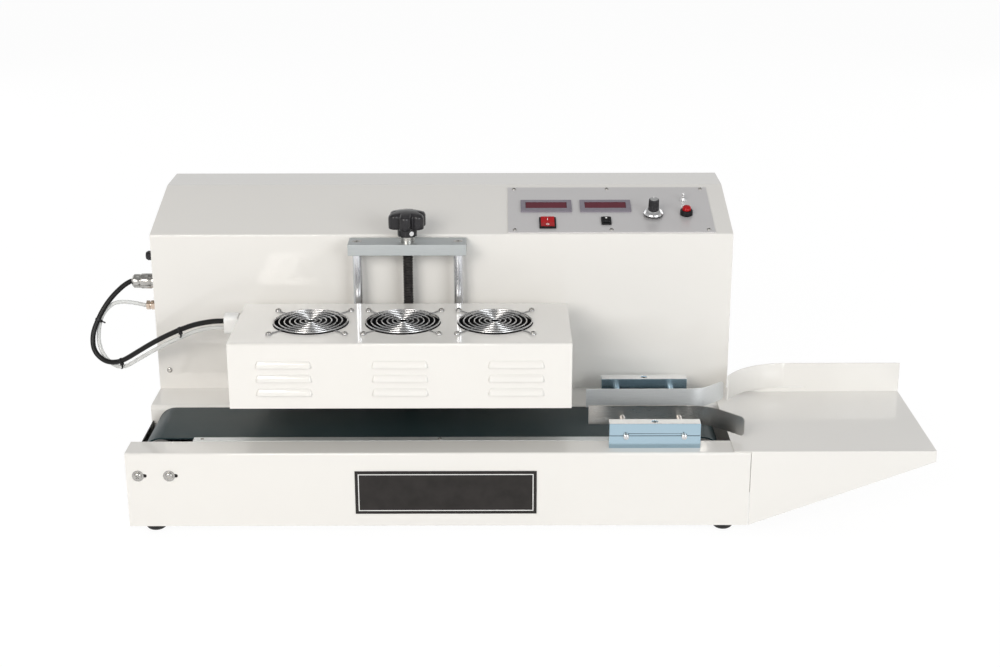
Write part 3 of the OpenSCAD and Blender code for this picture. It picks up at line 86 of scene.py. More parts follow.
def at(x, y, z, turn=Matrix.Identity(3)):
    """Matrix from a small part's own mm to the frame."""
    return Matrix.Translation(place(x, y, z)) @ turn.to_4x4() @ Matrix.Scale(MM, 4)


def at_panel(u, v, h):
    """Matrix from a small part's own mm to a place on the sloped panel."""
    y = CAB_Y + (PANEL_V + v) * math.cos(SLOPE) - h * math.sin(SLOPE)
    z = BEND_Z + (PANEL_V + v) * math.sin(SLOPE) + h * math.cos(SLOPE)
    return at(PANEL_X + u, y, z, Matrix.Rotation(SLOPE, 3, "X"))


# Camera, fitted to the photo

LENS = 58.69
CAMERA_AT = place(514.14, -2065.96, 979.15)
CAMERA_TURN = (71.3563, 0.0921, -0.0738)

camera = bpy.data.objects.new("camera", bpy.data.cameras.new("camera"))
SCENE.collection.objects.link(camera)
camera.data.sensor_width = 36.0
camera.data.lens = LENS
camera.location = CAMERA_AT
camera.rotation_euler = [math.radians(a) for a in CAMERA_TURN]
camera.data.clip_end = 50
SCENE.camera = camera


# Mesh building

def add_mesh(name, verts, faces, smooth=35):
    """An object with smooth shading, sharp at edges past an angle in degrees."""
    mesh = bpy.data.meshes.new(name)
    mesh.from_pydata([tuple(v) for v in verts], [], faces)
    mesh.validate()
    for polygon in mesh.polygons:
        polygon.use_smooth = True
    mesh.set_sharp_from_angle(angle=math.radians(smooth))
    obj = bpy.data.objects.new(name, mesh)
    SCENE.collection.objects.link(obj)
    return obj


def row_faces(rows, count):
    """Faces between rows of points, closed at both ends."""
    faces = []
    for i in range(rows - 1):
        for k in range(count):
            m = (k + 1) % count
            faces.append((i * count + k, i * count + m, (i + 1) * count + m, (i + 1) * count + k))
    faces.append(tuple(range(count - 1, -1, -1)))
    faces.append(tuple(range((rows - 1) * count, rows * count)))
    return faces


def lathe(profile, count=48, shape=None):
    """Points and faces of a turned form about z. shape changes a radius by angle."""
    verts = []
    for r, z in profile:
        for k in range(count):
            a = 2 * math.pi * k / count
            rr = shape(r, a) if shape else r
            verts.append((rr * math.cos(a), rr * math.sin(a), z))
    return verts, row_faces(len(profile), count)


def moved(matrix, verts):
    return [matrix @ Vector(v) for v in verts]


class Pile:
    """Gathers several small forms into one mesh."""

    def __init__(self):
        self.verts = []
        self.faces = []
        self.slots = []

    def add(self, matrix, form, slot=0):
        verts, faces = form
        start = len(self.verts)
        self.verts += moved(matrix, verts)
        self.faces += [tuple(start + i for i in f) for f in faces]
        self.slots += [slot] * len(faces)

    def make(self, name, materials, smooth=35):
        obj = add_mesh(name, self.verts, self.faces, smooth)
        for m in materials:
            obj.data.materials.append(m)
        for polygon, slot in zip(obj.data.polygons, self.slots):
            polygon.material_index = slot
        return obj


def ring_wire(radius, wire, count=72, sides=10):
    """A round wire bent to a ring about z."""
    verts, faces = [], []
    for i in range(count):
        a = 2 * math.pi * i / count
        for k in range(sides):
            b = 2 * math.pi * k / sides
            r = radius + wire * math.cos(b)
            verts.append((r * math.cos(a), r * math.sin(a), wire * math.sin(b)))
    for i in range(count):
        n = (i + 1) % count
        for k in range(sides):
            m = (k + 1) % sides
            faces.append((i * sides + k, n * sides + k, n * sides + m, i * sides + m))
    return verts, faces


def box_form(x0, x1, y0, y1, z0, z1):
    verts = [(x, y, z) for x in (x0, x1) for y in (y0, y1) for z in (z0, z1)]
    faces = [(0, 1, 3, 2), (4, 6, 7, 5), (0, 4, 5, 1), (2, 3, 7, 6), (0, 2, 6, 4), (1, 5, 7, 3)]
    return verts, faces


def cut_form(form, *cutters):
    """A form with other forms cut out of it."""
    whole = add_mesh("whole", *form)
    tools = []
    for c in cutters:
        tool = add_mesh("tool", *c)
        tools.append(tool)
        modifier = whole.modifiers.new("cut", "BOOLEAN")
        modifier.object = tool
        modifier.operation = "DIFFERENCE"
        modifier.solver = "EXACT"
    shown = whole.evaluated_get(bpy.context.evaluated_depsgraph_get())
    mesh = shown.to_mesh()
    verts = [tuple(v.co) for v in mesh.vertices]
    faces = [tuple(p.vertices) for p in mesh.polygons]
    shown.to_mesh_clear()
    for o in [whole, *tools]:
        bpy.data.objects.remove(o)
    return verts, faces


def crossed(form, arm, width, low, high):
    """A form with a cross recess between two heights."""
    return cut_form(
        form,
        box_form(-arm, arm, -width, width, low, high),
        box_form(-width, width, -arm, arm, low, high),
    )


def pan_head(r, h):
    """Round screw head with a cross recess, standing on z = 0."""
    angles = np.linspace(0, math.pi / 2 * 0.94, 7)
    steps = [(r * math.cos(t), h * (0.35 + 0.65 * math.sin(t))) for t in angles]
    dome = lathe([(r * 0.97, 0.0), (r, 0.12 * h), *steps], 32)
    return crossed(dome, r * 0.52, r * 0.13, h * 0.45, 2 * h)


def socket_head(r, h):
    """Cap head with a hexagon socket, standing on z = 0."""
    cap = lathe([(r, 0.0), (r, h - 0.5), (r - 0.5, h)], 32)
    socket = lathe([(r * 0.56, h * 0.4), (r * 0.56, h * 2)], 6)
    return cut_form(cap, socket)


def flat_head(r, h):
    """Countersunk head with a cross recess and its top on z = 0."""
    cone = lathe([(r / 2, -h), (r, -0.2), (r, -0.02)], 32)
    return crossed(cone, r * 0.5, r * 0.12, -h * 0.6, h)


# Materials

def new_material(name):
    made = bpy.data.materials.new(name)
    made.use_nodes = True
    tree = made.node_tree
    return made, tree, tree.nodes["Principled BSDF"]


def noise(tree, scale, detail=3.0, stretch=(1, 1, 1)):
    coord = tree.nodes.new("ShaderNodeTexCoord")
    mapping = tree.nodes.new("ShaderNodeMapping")
    mapping.inputs["Scale"].default_value = stretch
    texture = tree.nodes.new("ShaderNodeTexNoise")
    texture.inputs["Scale"].default_value = scale
    texture.inputs["Detail"].default_value = detail
    tree.links.new(coord.outputs["Object"], mapping.inputs["Vector"])
    tree.links.new(mapping.outputs["Vector"], texture.inputs["Vector"])
    return texture.outputs["Fac"]


def ranged(tree, value, low, high, start=0.3, end=0.7):
    node = tree.nodes.new("ShaderNodeMapRange")
    node.inputs["From Min"].default_value = start
    node.inputs["From Max"].default_value = end
    node.inputs["To Min"].default_value = low
    node.inputs["To Max"].default_value = high
    tree.links.new(value, node.inputs["Value"])
    return node.outputs["Result"]


def mixed(tree, factor, one, two):
    node = tree.nodes.new("ShaderNodeMix")
    node.data_type = "RGBA"
    node.inputs["A"].default_value = (*one, 1)
    node.inputs["B"].default_value = (*two, 1)
    tree.links.new(factor, node.inputs["Factor"])
    return node.outputs["Result"]


def bumped(tree, shader, height, strength, distance):
    node = tree.nodes.new("ShaderNodeBump")
    node.inputs["Strength"].default_value = strength
    node.inputs["Distance"].default_value = distance
    tree.links.new(height, node.inputs["Height"])
    tree.links.new(node.outputs["Normal"], shader.inputs["Normal"])


def surface(name, one, two, rough, metal=0.0, grain=40.0, stretch=(1, 1, 1), bump=(600.0, 0.05, 0.0002),
            coat=0.0, bump_stretch=(1, 1, 1), shine=0.5):
    """A material with two near colours, uneven gloss and a fine relief."""
    made, tree, shader = new_material(name)
    shader.inputs["Metallic"].default_value = metal
    shader.inputs["Specular IOR Level"].default_value = shine
    shader.inputs["Coat Weight"].default_value = coat
    shader.inputs["Coat Roughness"].default_value = 0.05
    tone = noise(tree, grain, 2.0, stretch)
    tree.links.new(mixed(tree, ranged(tree, tone, 0, 1), one, two), shader.inputs["Base Color"])
    tree.links.new(ranged(tree, tone, rough[0], rough[1]), shader.inputs["Roughness"])
    scale, strength, distance = bump
    bumped(tree, shader, noise(tree, scale, 2.0, bump_stretch), strength, distance)
    return made


PAINT = surface("ivory_enamel", (0.81, 0.796, 0.766), (0.805, 0.79, 0.76), (0.3, 0.34), grain=3.0,
                bump=(200.0, 0.015, 0.0002), coat=0.9, shine=0.15)
STAINLESS = surface("rolled_stainless", (0.52, 0.5, 0.48), (0.46, 0.44, 0.42), (0.26, 0.34), 1.0, 60.0,
                    (1, 25, 25), (900.0, 0.05, 0.0001), bump_stretch=(0.05, 1, 1))
# Painted sheen: a brighter, bluish steel colour than the front guide's stands in for the sheen on the back
# guide; the slider bed shares it
BRUSHED_AND_SHEEN = surface("brushed_stainless_and_painted_sheen", (0.86, 0.88, 0.89), (0.8, 0.82, 0.83), (0.5, 0.58), 1.0, 60.0,
                  (1, 25, 25), (900.0, 0.05, 0.0001), bump_stretch=(0.05, 1, 1))
ROLLER = surface("turned_roller", (0.62, 0.62, 0.62), (0.55, 0.55, 0.55), (0.25, 0.35), 1.0, 80.0)
ZINC = surface("zinc_plate", (0.6, 0.6, 0.58), (0.5, 0.5, 0.49), (0.3, 0.42), 1.0, 90.0)
ALLOY = surface("machined_alloy", (0.54, 0.57, 0.575), (0.5, 0.53, 0.535), (0.36, 0.44), 1.0, 50.0,
                (1, 30, 30), (1500.0, 0.06, 0.0001), bump_stretch=(0.04, 1, 1))
CHROME = surface("bright_chrome", (0.74, 0.74, 0.74), (0.68, 0.68, 0.685), (0.12, 0.18), 1.0, 120.0,
                 bump=(300.0, 0.01, 0.0001))
ROD = surface("ground_rod", (0.7, 0.71, 0.74), (0.66, 0.67, 0.7), (0.2, 0.24), 1.0, 90.0, (1, 1, 6),
              (500.0, 0.01, 0.0001))
NICKEL = surface("bright_nickel", (0.5, 0.49, 0.47), (0.42, 0.41, 0.39), (0.16, 0.24), 1.0, 140.0)
SATIN = surface("satin_chrome", (0.82, 0.82, 0.82), (0.76, 0.76, 0.76), (0.28, 0.36), 1.0, 120.0)
STEEL_WIRE = surface("plated_wire", (0.5, 0.5, 0.5), (0.44, 0.44, 0.445), (0.23, 0.31), 1.0, 200.0)
RUBBER = surface("black_rubber", (0.012, 0.012, 0.012), (0.02, 0.02, 0.02), (0.5, 0.65), 0.0, 180.0,
                 bump=(1600.0, 0.2, 0.0003), shine=0.3)
BLACK = surface("black_bakelite", (0.012, 0.011, 0.013), (0.018, 0.017, 0.02), (0.2, 0.28), 0.0, 90.0,
                shine=0.4)
SWITCH = surface("switch_moulding", (0.008, 0.008, 0.009), (0.012, 0.012, 0.013), (0.3, 0.4), 0.0, 120.0,
                 shine=0.15)
MATTE = surface("black_moulding", (0.01, 0.01, 0.011), (0.018, 0.018, 0.02), (0.4, 0.5), 0.0, 120.0,
                bump=(1800.0, 0.2, 0.0002), shine=0.3)
MOTOR = surface("grey_casting", (0.2, 0.21, 0.22), (0.26, 0.27, 0.28), (0.45, 0.6), 0.1, 150.0,
                bump=(700.0, 0.3, 0.0004))
PANEL = surface("grey_panel", (0.68, 0.67, 0.675), (0.665, 0.655, 0.66), (0.3, 0.34), 0.35, 20.0,
                bump=(120.0, 0.004, 0.0001))
METER = surface("meter_moulding", (0.24, 0.22, 0.26), (0.21, 0.195, 0.23), (0.35, 0.45), 0.0, 150.0,
                shine=0.3)
WINDOW = surface("red_filter", (0.125, 0.013, 0.028), (0.112, 0.012, 0.025), (0.1, 0.14), 0.0, 60.0,
                 shine=0.25)
RED = surface("red_moulding", (0.42, 0.005, 0.008), (0.36, 0.004, 0.007), (0.18, 0.24), 0.0, 90.0,
              shine=0.25)
BRASS = surface("bright_brass", (0.74, 0.56, 0.34), (0.64, 0.47, 0.28), (0.2, 0.3), 1.0, 140.0)
ROSY = surface("rosy_brass", (0.72, 0.6, 0.5), (0.6, 0.48, 0.39), (0.2, 0.3), 1.0, 140.0)
# Dark steel for the lift screw; on the idler bearing plates the same black is painted shade
BLACK_STEEL_AND_SHADE = surface("blackened_steel_and_painted_shade", (0.02, 0.018, 0.018), (0.034, 0.031, 0.03), (0.3, 0.42), 0.5, 160.0,
                      shine=0.3)
COPPER = surface("wound_copper", (0.6, 0.3, 0.15), (0.48, 0.22, 0.11), (0.3, 0.45), 1.0, 300.0)
FERRITE = surface("sintered_ferrite", (0.06, 0.06, 0.062), (0.09, 0.09, 0.092), (0.5, 0.7), 0.2, 250.0)
LAMINATE = surface("laminate", (0.62, 0.6, 0.54), (0.56, 0.54, 0.48), (0.4, 0.55), 0.0, 30.0, (1, 20, 1))
NYLON = surface("white_nylon", (0.87, 0.87, 0.86), (0.84, 0.84, 0.83), (0.35, 0.48), 0.0, 110.0)
CABLE = surface("cable_sheath", (0.005, 0.005, 0.005), (0.008, 0.008, 0.008), (0.32, 0.42), 0.0, 140.0,
                shine=0.25)
PLATE = surface("black_plate", (0.02, 0.018, 0.017), (0.028, 0.025, 0.024), (0.4, 0.5), 0.0, 60.0,
                shine=0.2)
LINE = surface("pale_line", (0.84, 0.84, 0.83), (0.8, 0.8, 0.79), (0.35, 0.5), 0.0, 80.0)


def belt_material():
    made, tree, shader = new_material("coated_belt")
    tone = noise(tree, 9.0, 5.0, (0.25, 1, 1))
    tree.links.new(mixed(tree, ranged(tree, tone, 0, 1), (0.011, 0.025, 0.029), (0.016, 0.034, 0.039)),
                   shader.inputs["Base Color"])
    tree.links.new(ranged(tree, tone, 0.36, 0.46), shader.inputs["Roughness"])
    shader.inputs["Specular IOR Level"].default_value = 0.25
    coord = tree.nodes.new("ShaderNodeTexCoord")
    heights = []
    for direction in ("X", "Y"):
        wave = tree.nodes.new("ShaderNodeTexWave")
        wave.bands_direction = direction
        wave.inputs["Scale"].default_value = 320.0
        tree.links.new(coord.outputs["Object"], wave.inputs["Vector"])
        heights.append(wave.outputs["Fac"])
    both = tree.nodes.new("ShaderNodeMath")
    both.operation = "MULTIPLY"
    for i, socket in enumerate(heights):
        tree.links.new(socket, both.inputs[i])
    bumped(tree, shader, both.outputs["Value"], 0.12, 0.0002)
    return made


def tube_material():
    made, tree, shader = new_material("clear_tube")
    tone = noise(tree, 60.0)
    tree.links.new(mixed(tree, ranged(tree, tone, 0, 1), (0.86, 0.87, 0.86), (0.8, 0.81, 0.8)),
                   shader.inputs["Base Color"])
    tree.links.new(ranged(tree, tone, 0.14, 0.24), shader.inputs["Roughness"])
    shader.inputs["Transmission Weight"].default_value = 0.35
    shader.inputs["IOR"].default_value = 1.42
    return made


def block_material():
    """Blue zinc plate, with a painted highlight: faces that point up are given a pale, near-white colour."""
    made, tree, shader = new_material("blue_zinc")
    shader.inputs["Metallic"].default_value = 1.0
    coord = tree.nodes.new("ShaderNodeTexCoord")
    parts = tree.nodes.new("ShaderNodeSeparateXYZ")
    tree.links.new(coord.outputs["Normal"], parts.inputs[0])
    # Painted highlight: the share of pale near-white grows as a face points up
    painted_top_highlight = ranged(tree, parts.outputs["Z"], 0, 1, 0.6, 0.9)
    tree.links.new(mixed(tree, painted_top_highlight, (0.42, 0.56, 0.65), (0.88, 0.89, 0.9)), shader.inputs["Base Color"])
    tone = noise(tree, 50.0, 2.0, (1, 30, 30))
    tree.links.new(ranged(tree, tone, 0.14, 0.22), shader.inputs["Roughness"])
    bumped(tree, shader, noise(tree, 1500.0, 2.0, (0.04, 1, 1)), 0.05, 0.0001)
    return made


BELT = belt_material()
BLUE_ZINC = block_material()
TUBE = tube_material()

FINISH = {
    PAINT: ["base_shell", "feed_tray", "cabinet_cover", "cabinet_left_panel", "cabinet_right_panel",
            "cabinet_back_panel", "head_cover"],
    STAINLESS: ["front_guide"],
    # The back guide takes the brighter steel as painted sheen; both guides are the same steel
    BRUSHED_AND_SHEEN: ["slider_bed", "back_guide"],
    ROLLER: ["drive_roller", "idler_roller"],
    ZINC: ["base_floor", "speed_pot"],
    BLUE_ZINC: ["clamp_lower_blocks", "clamp_upper_blocks"],
    ALLOY: ["drive_bearing_stand", "lift_top_bar", "head_carriage", "power_module"],
    ROD: ["lift_rods"],
    NICKEL: ["cable_plug", "case_screws", "guard_screws", "tension_screws", "thrust_collars"],
    SATIN: ["toggle_body", "toggle_lever"],
    CHROME: ["knob_set_screw", "fan_guards"],
    RUBBER: ["rubber_feet"],
    BELT: ["conveyor_belt"],
    MOTOR: ["drive_gearmotor"],
    MATTE: ["mains_inlet", "fan_frames", "fan_rotor_1", "fan_rotor_2", "fan_rotor_3"],
    BLACK: ["fuse_holder", "speed_knob", "star_knob"],
    SWITCH: ["switch_housings", "mode_rocker"],
    PLATE: ["nameplate"],
    PANEL: ["control_panel"],
    METER: ["panel_meters"],
    WINDOW: ["meter_windows"],
    RED: ["power_rocker", "push_button"],
    BRASS: ["carriage_bushes", "lift_nut"],
    ROSY: ["tube_fitting"],
    # The idler bearing plates take this black as painted shade, darkening what shows of them beside the
    # belt's left end and through the base's front slots
    BLACK_STEEL_AND_SHADE: ["lift_screw", "idler_bearing_plates"],
    COPPER: ["induction_coil"],
    FERRITE: ["ferrite_bars"],
    LAMINATE: ["head_floor"],
    NYLON: ["head_gland"],
    CABLE: ["head_cable"],
    TUBE: ["head_tube"],
}
for finish, names in FINISH.items():
    for name in names:
        NODES[name].data.materials.clear()
        NODES[name].data.materials.append(finish)


# Soft edges by their width in mm; narrow louvres leave edges of no length, which are merged
EDGES = {
    0.5: ["feed_tray", "base_shell", "head_cover", "lift_top_bar", "clamp_lower_blocks",
          "clamp_upper_blocks", "head_gland"],
    0.3: ["panel_meters", "switch_housings", "power_rocker", "mode_rocker", "nameplate",
          "front_guide", "back_guide", "cable_plug", "tube_fitting", "fuse_holder", "push_button",
          "mains_inlet"],
}
LOUVRED = ["head_cover"]
EDGE_ANGLE = math.radians(40)
WELD_GAP = 0.01 * MM
LOUVRE_GAP = 0.02 * MM
for width, names in EDGES.items():
    for name in names:
        node = NODES[name]
        weld = node.modifiers.new("weld", "WELD")
        weld.merge_threshold = WELD_GAP
        bevel = node.modifiers.new("bevel", "BEVEL")
        bevel.width = width * MM
        bevel.segments = 2
        bevel.limit_method = "ANGLE"
        bevel.angle_limit = EDGE_ANGLE
        bevel.harden_normals = True
        if name in LOUVRED:
            clean = node.modifiers.new("clean", "WELD")
            clean.merge_threshold = LOUVRE_GAP


# Cable and tube from the cabinet's side to the head

CABLE_ROUTE = [
    (-38, 290, 269), (-40, 290, 269), (-50, 286, 264), (-62, 279, 254), (-72, 273, 243), (-81, 267, 230),
    (-89, 260, 214), (-94, 254, 200), (-95, 249, 187), (-92, 243, 175), (-83, 238, 165), (-70, 233, 160),
    (-54, 228, 162), (-40, 223, 169), (-21, 216, 182), (-2, 209, 195), (17, 202, 207), (36, 195, 218),
    (52, 190, 226), (70, 184, 234), (88, 177, 240), (104, 171, 244), (118, 166, 246), (119.7, 165, 247),
]
TUBE_ROUTE = [
    (-19, 290, 231), (-22, 290, 231), (-34, 287, 235), (-51, 281, 239), (-65, 278, 238), (-75, 276, 231),
    (-84, 271, 219), (-88, 265, 203), (-88, 257, 186), (-83, 250, 171), (-74, 244, 160), (-60, 237, 152),
    (-44, 230, 154), (-23, 220, 168), (-3, 210, 182), (16, 203, 194), (34, 196, 205), (52, 190, 214),
    (72, 182, 225), (96, 173, 233), (118, 166, 236), (119.7, 165, 237),
]
CABLE_R = 3.8 * MM
TUBE_R = 3.0 * MM
POINT_GAP = 3.0


def smooth_line(points, spacing):
    """Even points along a smooth curve through the given ones, in metres in the frame."""
    steps, passes = 24, 60
    p = np.array(points, float)
    p = np.vstack([2 * p[0] - p[1], p, 2 * p[-1] - p[-2]])
    fine = []
    for i in range(1, len(p) - 2):
        for t in np.linspace(0, 1, steps, endpoint=False):
            fine.append(0.5 * (2 * p[i] + (p[i + 1] - p[i - 1]) * t
                               + (2 * p[i - 1] - 5 * p[i] + 4 * p[i + 1] - p[i + 2]) * t ** 2
                               + (3 * p[i] - p[i - 1] - 3 * p[i + 1] + p[i + 2]) * t ** 3))
    fine.append(p[-2])
    fine = np.array(fine)
    for _ in range(passes):
        fine[1:-1] = fine[1:-1] * 0.5 + (fine[:-2] + fine[2:]) * 0.25
    along = np.concatenate([[0], np.cumsum(np.linalg.norm(np.diff(fine, axis=0), axis=1))])
    even = np.linspace(0, along[-1], int(along[-1] / spacing) + 1)
    line = np.stack([np.interp(even, along, fine[:, k]) for k in range(3)], 1)
    return [place(*q) for q in line]


def swept(name, line, radius, sides, material, low=0, high=None):
    """A round tube along a line, or along its points from low to high."""
    high = len(line) - 1 if high is None else high
    verts = []
    side = Vector((0, 0, 1))
    for i in range(low, high + 1):
        d = (line[min(i + 1, len(line) - 1)] - line[max(i - 1, 0)]).normalized()
        side = (side - d * side.dot(d)).normalized()
        up = d.cross(side)
        for k in range(sides):
            a = 2 * math.pi * k / sides
            verts.append(line[i] + (side * math.cos(a) + up * math.sin(a)) * radius)
    faces = row_faces(high + 1 - low, sides)
    obj = add_mesh(name, verts, faces, 50)
    obj.data.materials.append(material)
    return obj


cable_line = smooth_line(CABLE_ROUTE, POINT_GAP)
tube_line = smooth_line(TUBE_ROUTE, POINT_GAP)
cable = swept("cable", cable_line, CABLE_R, 20, CABLE)
tube = swept("clear_tube", tube_line, TUBE_R, 18, TUBE)
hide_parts("head_cable")
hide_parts("head_tube")


# Cable ties

TIE_T = 0.7 * MM
LOCK_RISE = 1.6 * MM
LOCK = box_form(-2.1, 2.1, -2.2, 2.2, -1.6, 1.5)
TAIL_LINE = [(0.0, 0.6), (0.2, 3.0), (1.2, 5.4), (3.0, 7.2)]
TAIL_HALF_WIDTH = 1.2
TAIL_HALF_THICK = 0.45
# How the strap's thickness lies at the tail, across in y and down in z
TAIL_TILT = (0.9, 0.43)
# Each tie's name, its place along the cable in points and the way its lock faces
TIES = [
    ("cable_tie_a", 27, (1, -0.5, 0)),
    ("cable_tie_b", 60, (0.3, -0.5, -1)),
    ("cable_tie_c", 100, (0.1, -0.5, -1)),
]


def tail():
    """The cut end of a tie's strap, bent away from the lock."""
    half = TAIL_HALF_WIDTH
    across, down = (share * TAIL_HALF_THICK for share in TAIL_TILT)
    verts = []
    for y, z in TAIL_LINE:
        verts += [(-half, y - across, z + down), (half, y - across, z + down)]
        verts += [(half, y + across, z - down), (-half, y + across, z - down)]
    return verts, row_faces(len(TAIL_LINE), 4)


def tie(name, index, side):
    """A strap round the cable, with its small lock and cut tail on the given side."""
    band = swept(name, cable_line, CABLE_R + TIE_T, 20, MATTE, index - 1, index)
    d = (cable_line[index] - cable_line[index - 1]).normalized()
    out = (Vector(side) - d * Vector(side).dot(d)).normalized()
    middle = (cable_line[index] + cable_line[index - 1]) / 2 + out * (CABLE_R + LOCK_RISE)
    turn = Matrix((d, out.cross(d), out)).transposed().to_4x4()
    spot = Matrix.Translation(middle) @ turn @ Matrix.Scale(MM, 4)
    lock = Pile()
    lock.add(spot, LOCK)
    lock.add(spot, tail())
    head = lock.make(name + "_lock", [MATTE])
    for o in (band, head):
        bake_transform(o)
    return [band, head]


ties = [piece for each in TIES for piece in tie(*each)]
for o in (cable, tube):
    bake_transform(o)


# Finger guards of round wire

GUARD_RINGS = 7
GUARD_PITCH = 7.4
GUARD_WIRE = 1.05
GUARD_EYE_R = 3.4
SPOKE_SHORT = 3.0
RING_Z = HEAD_TOP + 2.6
SPOKE_Z = HEAD_TOP + 1.0


def guards():
    """Rings on four spokes over each fan, with an eye for the screw at each spoke's end."""
    pile = Pile()
    reach = FAN_HOLE * math.sqrt(2)
    spoke = lathe([(GUARD_WIRE, GUARD_PITCH), (GUARD_WIRE, reach - SPOKE_SHORT)], 10)
    for x in FAN_XS:
        for i in range(1, GUARD_RINGS + 1):
            pile.add(at(x, HEAD_MID_Y, RING_Z), ring_wire(i * GUARD_PITCH, GUARD_WIRE))
        for a in (45, 135, 225, 315):
            turn = Matrix.Rotation(math.radians(a), 3, "Z")
            lie = turn @ Matrix.Rotation(math.radians(90), 3, "Y")
            pile.add(at(x, HEAD_MID_Y, SPOKE_Z, lie), spoke)
            eye = Vector((reach, 0, 0))
            eye.rotate(turn)
            pile.add(at(x + eye.x, HEAD_MID_Y + eye.y, SPOKE_Z), ring_wire(GUARD_EYE_R, GUARD_WIRE, 28))
    return pile.make("wire_guards", [STEEL_WIRE])


wire_guards = guards()
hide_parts("fan_guards")
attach(wire_guards, "head")


# Screws with their recesses; where a head is turned about its axis, its place gives the angle

PANEL_SCREW_US = (10, PANEL_L / 2, PANEL_L - 9)
PANEL_SCREW_VS = (7, PANEL_D - 6)
CABINET_SCREW = (16, CAB_Y, BASE_H + 30)
BAR_SCREW_OFF = 74
CLAMP_SCREW_X = 729
CLAMP_SCREW_YS = (26, 204)
CLAMP_TOP = BASE_H + 30
STRIP_SCREW_XS = (98, 431, 740)
STRIP_SCREW_Y = 52.5
GUARD_SCREW_Z = HEAD_TOP + 2.0
TENSION_XS = (16.5, 59.5)
TENSION_Z = 76
WASHER_T = 1.2
ROUND_HEAD = pan_head(4.0, 2.4)


def case_screw_heads():
    """Heads on the panel, the cabinet's front, the lift's bar, the clamp blocks and the strip by the belt."""
    pile = Pile()
    panel_head = pan_head(3.2, 1.9)
    for u in PANEL_SCREW_US:
        for v in PANEL_SCREW_VS:
            pile.add(at_panel(u, v, PANEL_T) @ Matrix.Rotation(u, 4, "Z"), panel_head)
    pile.add(at(*CABINET_SCREW, FACING_FRONT), ROUND_HEAD)
    bar_head = flat_head(7.2, 4.2)
    for s in (-1, 1):
        pile.add(at(LIFT_X + s * BAR_SCREW_OFF, LIFT_Y, BAR_TOP), bar_head)
    clamp_head = socket_head(4.2, 5.0)
    for y in CLAMP_SCREW_YS:
        pile.add(at(CLAMP_SCREW_X, y, CLAMP_TOP), clamp_head)
    strip_head = pan_head(2.6, 1.2)
    for x in STRIP_SCREW_XS:
        pile.add(at(x, STRIP_SCREW_Y, BASE_H), strip_head)
    return pile.make("case_screw_heads", [NICKEL])


def guard_screw_heads():
    pile = Pile()
    for x in FAN_XS:
        for sx in (-1, 1):
            for sy in (-1, 1):
                turn = Matrix.Rotation(x + sx + 2 * sy, 3, "Z")
                spot = at(x + sx * FAN_HOLE, HEAD_MID_Y + sy * FAN_HOLE, GUARD_SCREW_Z, turn)
                pile.add(spot, ROUND_HEAD)
    return pile.make("guard_screw_heads", [NICKEL])


def tension_screw_heads():
    """Two large heads on washers at the base's front."""
    pile = Pile()
    washer = lathe([(3.0, 0.0), (7.8, 0.0), (8.0, 0.2), (8.0, 0.9), (7.7, WASHER_T), (3.0, WASHER_T)], 40)
    head = pan_head(5.5, 3.5)
    for x in TENSION_XS:
        pile.add(at(x, 0, TENSION_Z, FACING_FRONT), washer)
        pile.add(at(x, -WASHER_T, TENSION_Z, FACING_FRONT @ Matrix.Rotation(x, 3, "Z")), head)
    return pile.make("tension_screw_heads", [NICKEL])


for piece, node, body in (
    (case_screw_heads(), "case_screws", "frame"),
    (guard_screw_heads(), "guard_screws", "head"),
    (tension_screw_heads(), "tension_screws", "frame"),
):
    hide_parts(node)
    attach(piece, body)


# Star knob with round lobes, and the threaded lift screw

STAR_R = 28.5
LOBE_R = 9.12
LOBES = 6
STAR_TURN = math.radians(-95)
STAR_SIDES = 180
# Heights on the lobes' side and how far each is drawn in
STAR_LEVELS = [(0.0, 2.4), (0.35, 1.2), (1.1, 0.35), (2.4, 0.0), (10.0, -0.2), (16.6, 0.0), (18.6, 0.4),
               (20.0, 1.2), (20.9, 2.4)]
# Shares of the way from the axis to the edge on the domed top
CROWN_SHARES = (0.86, 0.68, 0.48, 0.28, 0.08)
CROWN_INSET = 3.2
CROWN_Z = 21.0
CROWN_RISE = 4.0
CROWN_R = 26.0
HUB = [(7.6, 0.0), (13.6, 0.0), (14.1, 0.5), (14.25, 1.5), (14.25, 12.4), (14.25, 13.0), (7.6, 13.0)]
SCREW_R = 7.5
SCREW_FOOT_Z = BASE_H + 6
THREAD_DEPTH = 0.9
THREAD_LEAD = 4.0
# Shares of the lead from the crest's middle to its edge, and over one flank
THREAD_CREST = 0.14
THREAD_FLANK = 0.12


def star_radius(a):
    """Distance from the axis to the star's edge at an angle."""
    step = 2 * math.pi / LOBES
    b = (a + step / 2) % step - step / 2
    centre = STAR_R - LOBE_R
    reach = LOBE_R ** 2 - (centre * math.sin(b)) ** 2
    tip = centre * math.cos(b) + math.sqrt(reach) if reach > 0 else 0.0
    return max(tip, centre * 0.98)


def star():
    """Six round lobes with a domed top, on a hub."""
    angles = [2 * math.pi * k / STAR_SIDES for k in range(STAR_SIDES)]
    radii = np.array([star_radius(a) for a in angles])
    for _ in range(5):
        radii = radii * 0.5 + (np.roll(radii, 1) + np.roll(radii, -1)) * 0.25
    rows = [[(edge - inset, z) for edge in radii] for z, inset in STAR_LEVELS]
    for share in CROWN_SHARES:
        row = []
        for edge in radii:
            r = (edge - CROWN_INSET) * share + (radii.mean() - edge) * share * (1 - share)
            row.append((r, CROWN_Z + CROWN_RISE * (1 - (r / CROWN_R) ** 2)))
        rows.append(row)
    verts = []
    for row in rows:
        for a, (r, z) in zip(angles, row):
            verts.append((r * math.cos(a + STAR_TURN), r * math.sin(a + STAR_TURN), z))
    pile = Pile()
    pile.add(at(LIFT_X, LIFT_Y, LOBE_Z), (verts, row_faces(len(rows), STAR_SIDES)))
    pile.add(at(LIFT_X, LIFT_Y, HUB_Z), lathe(HUB, 72))
    return pile.make("lift_star_knob", [BLACK], 50)


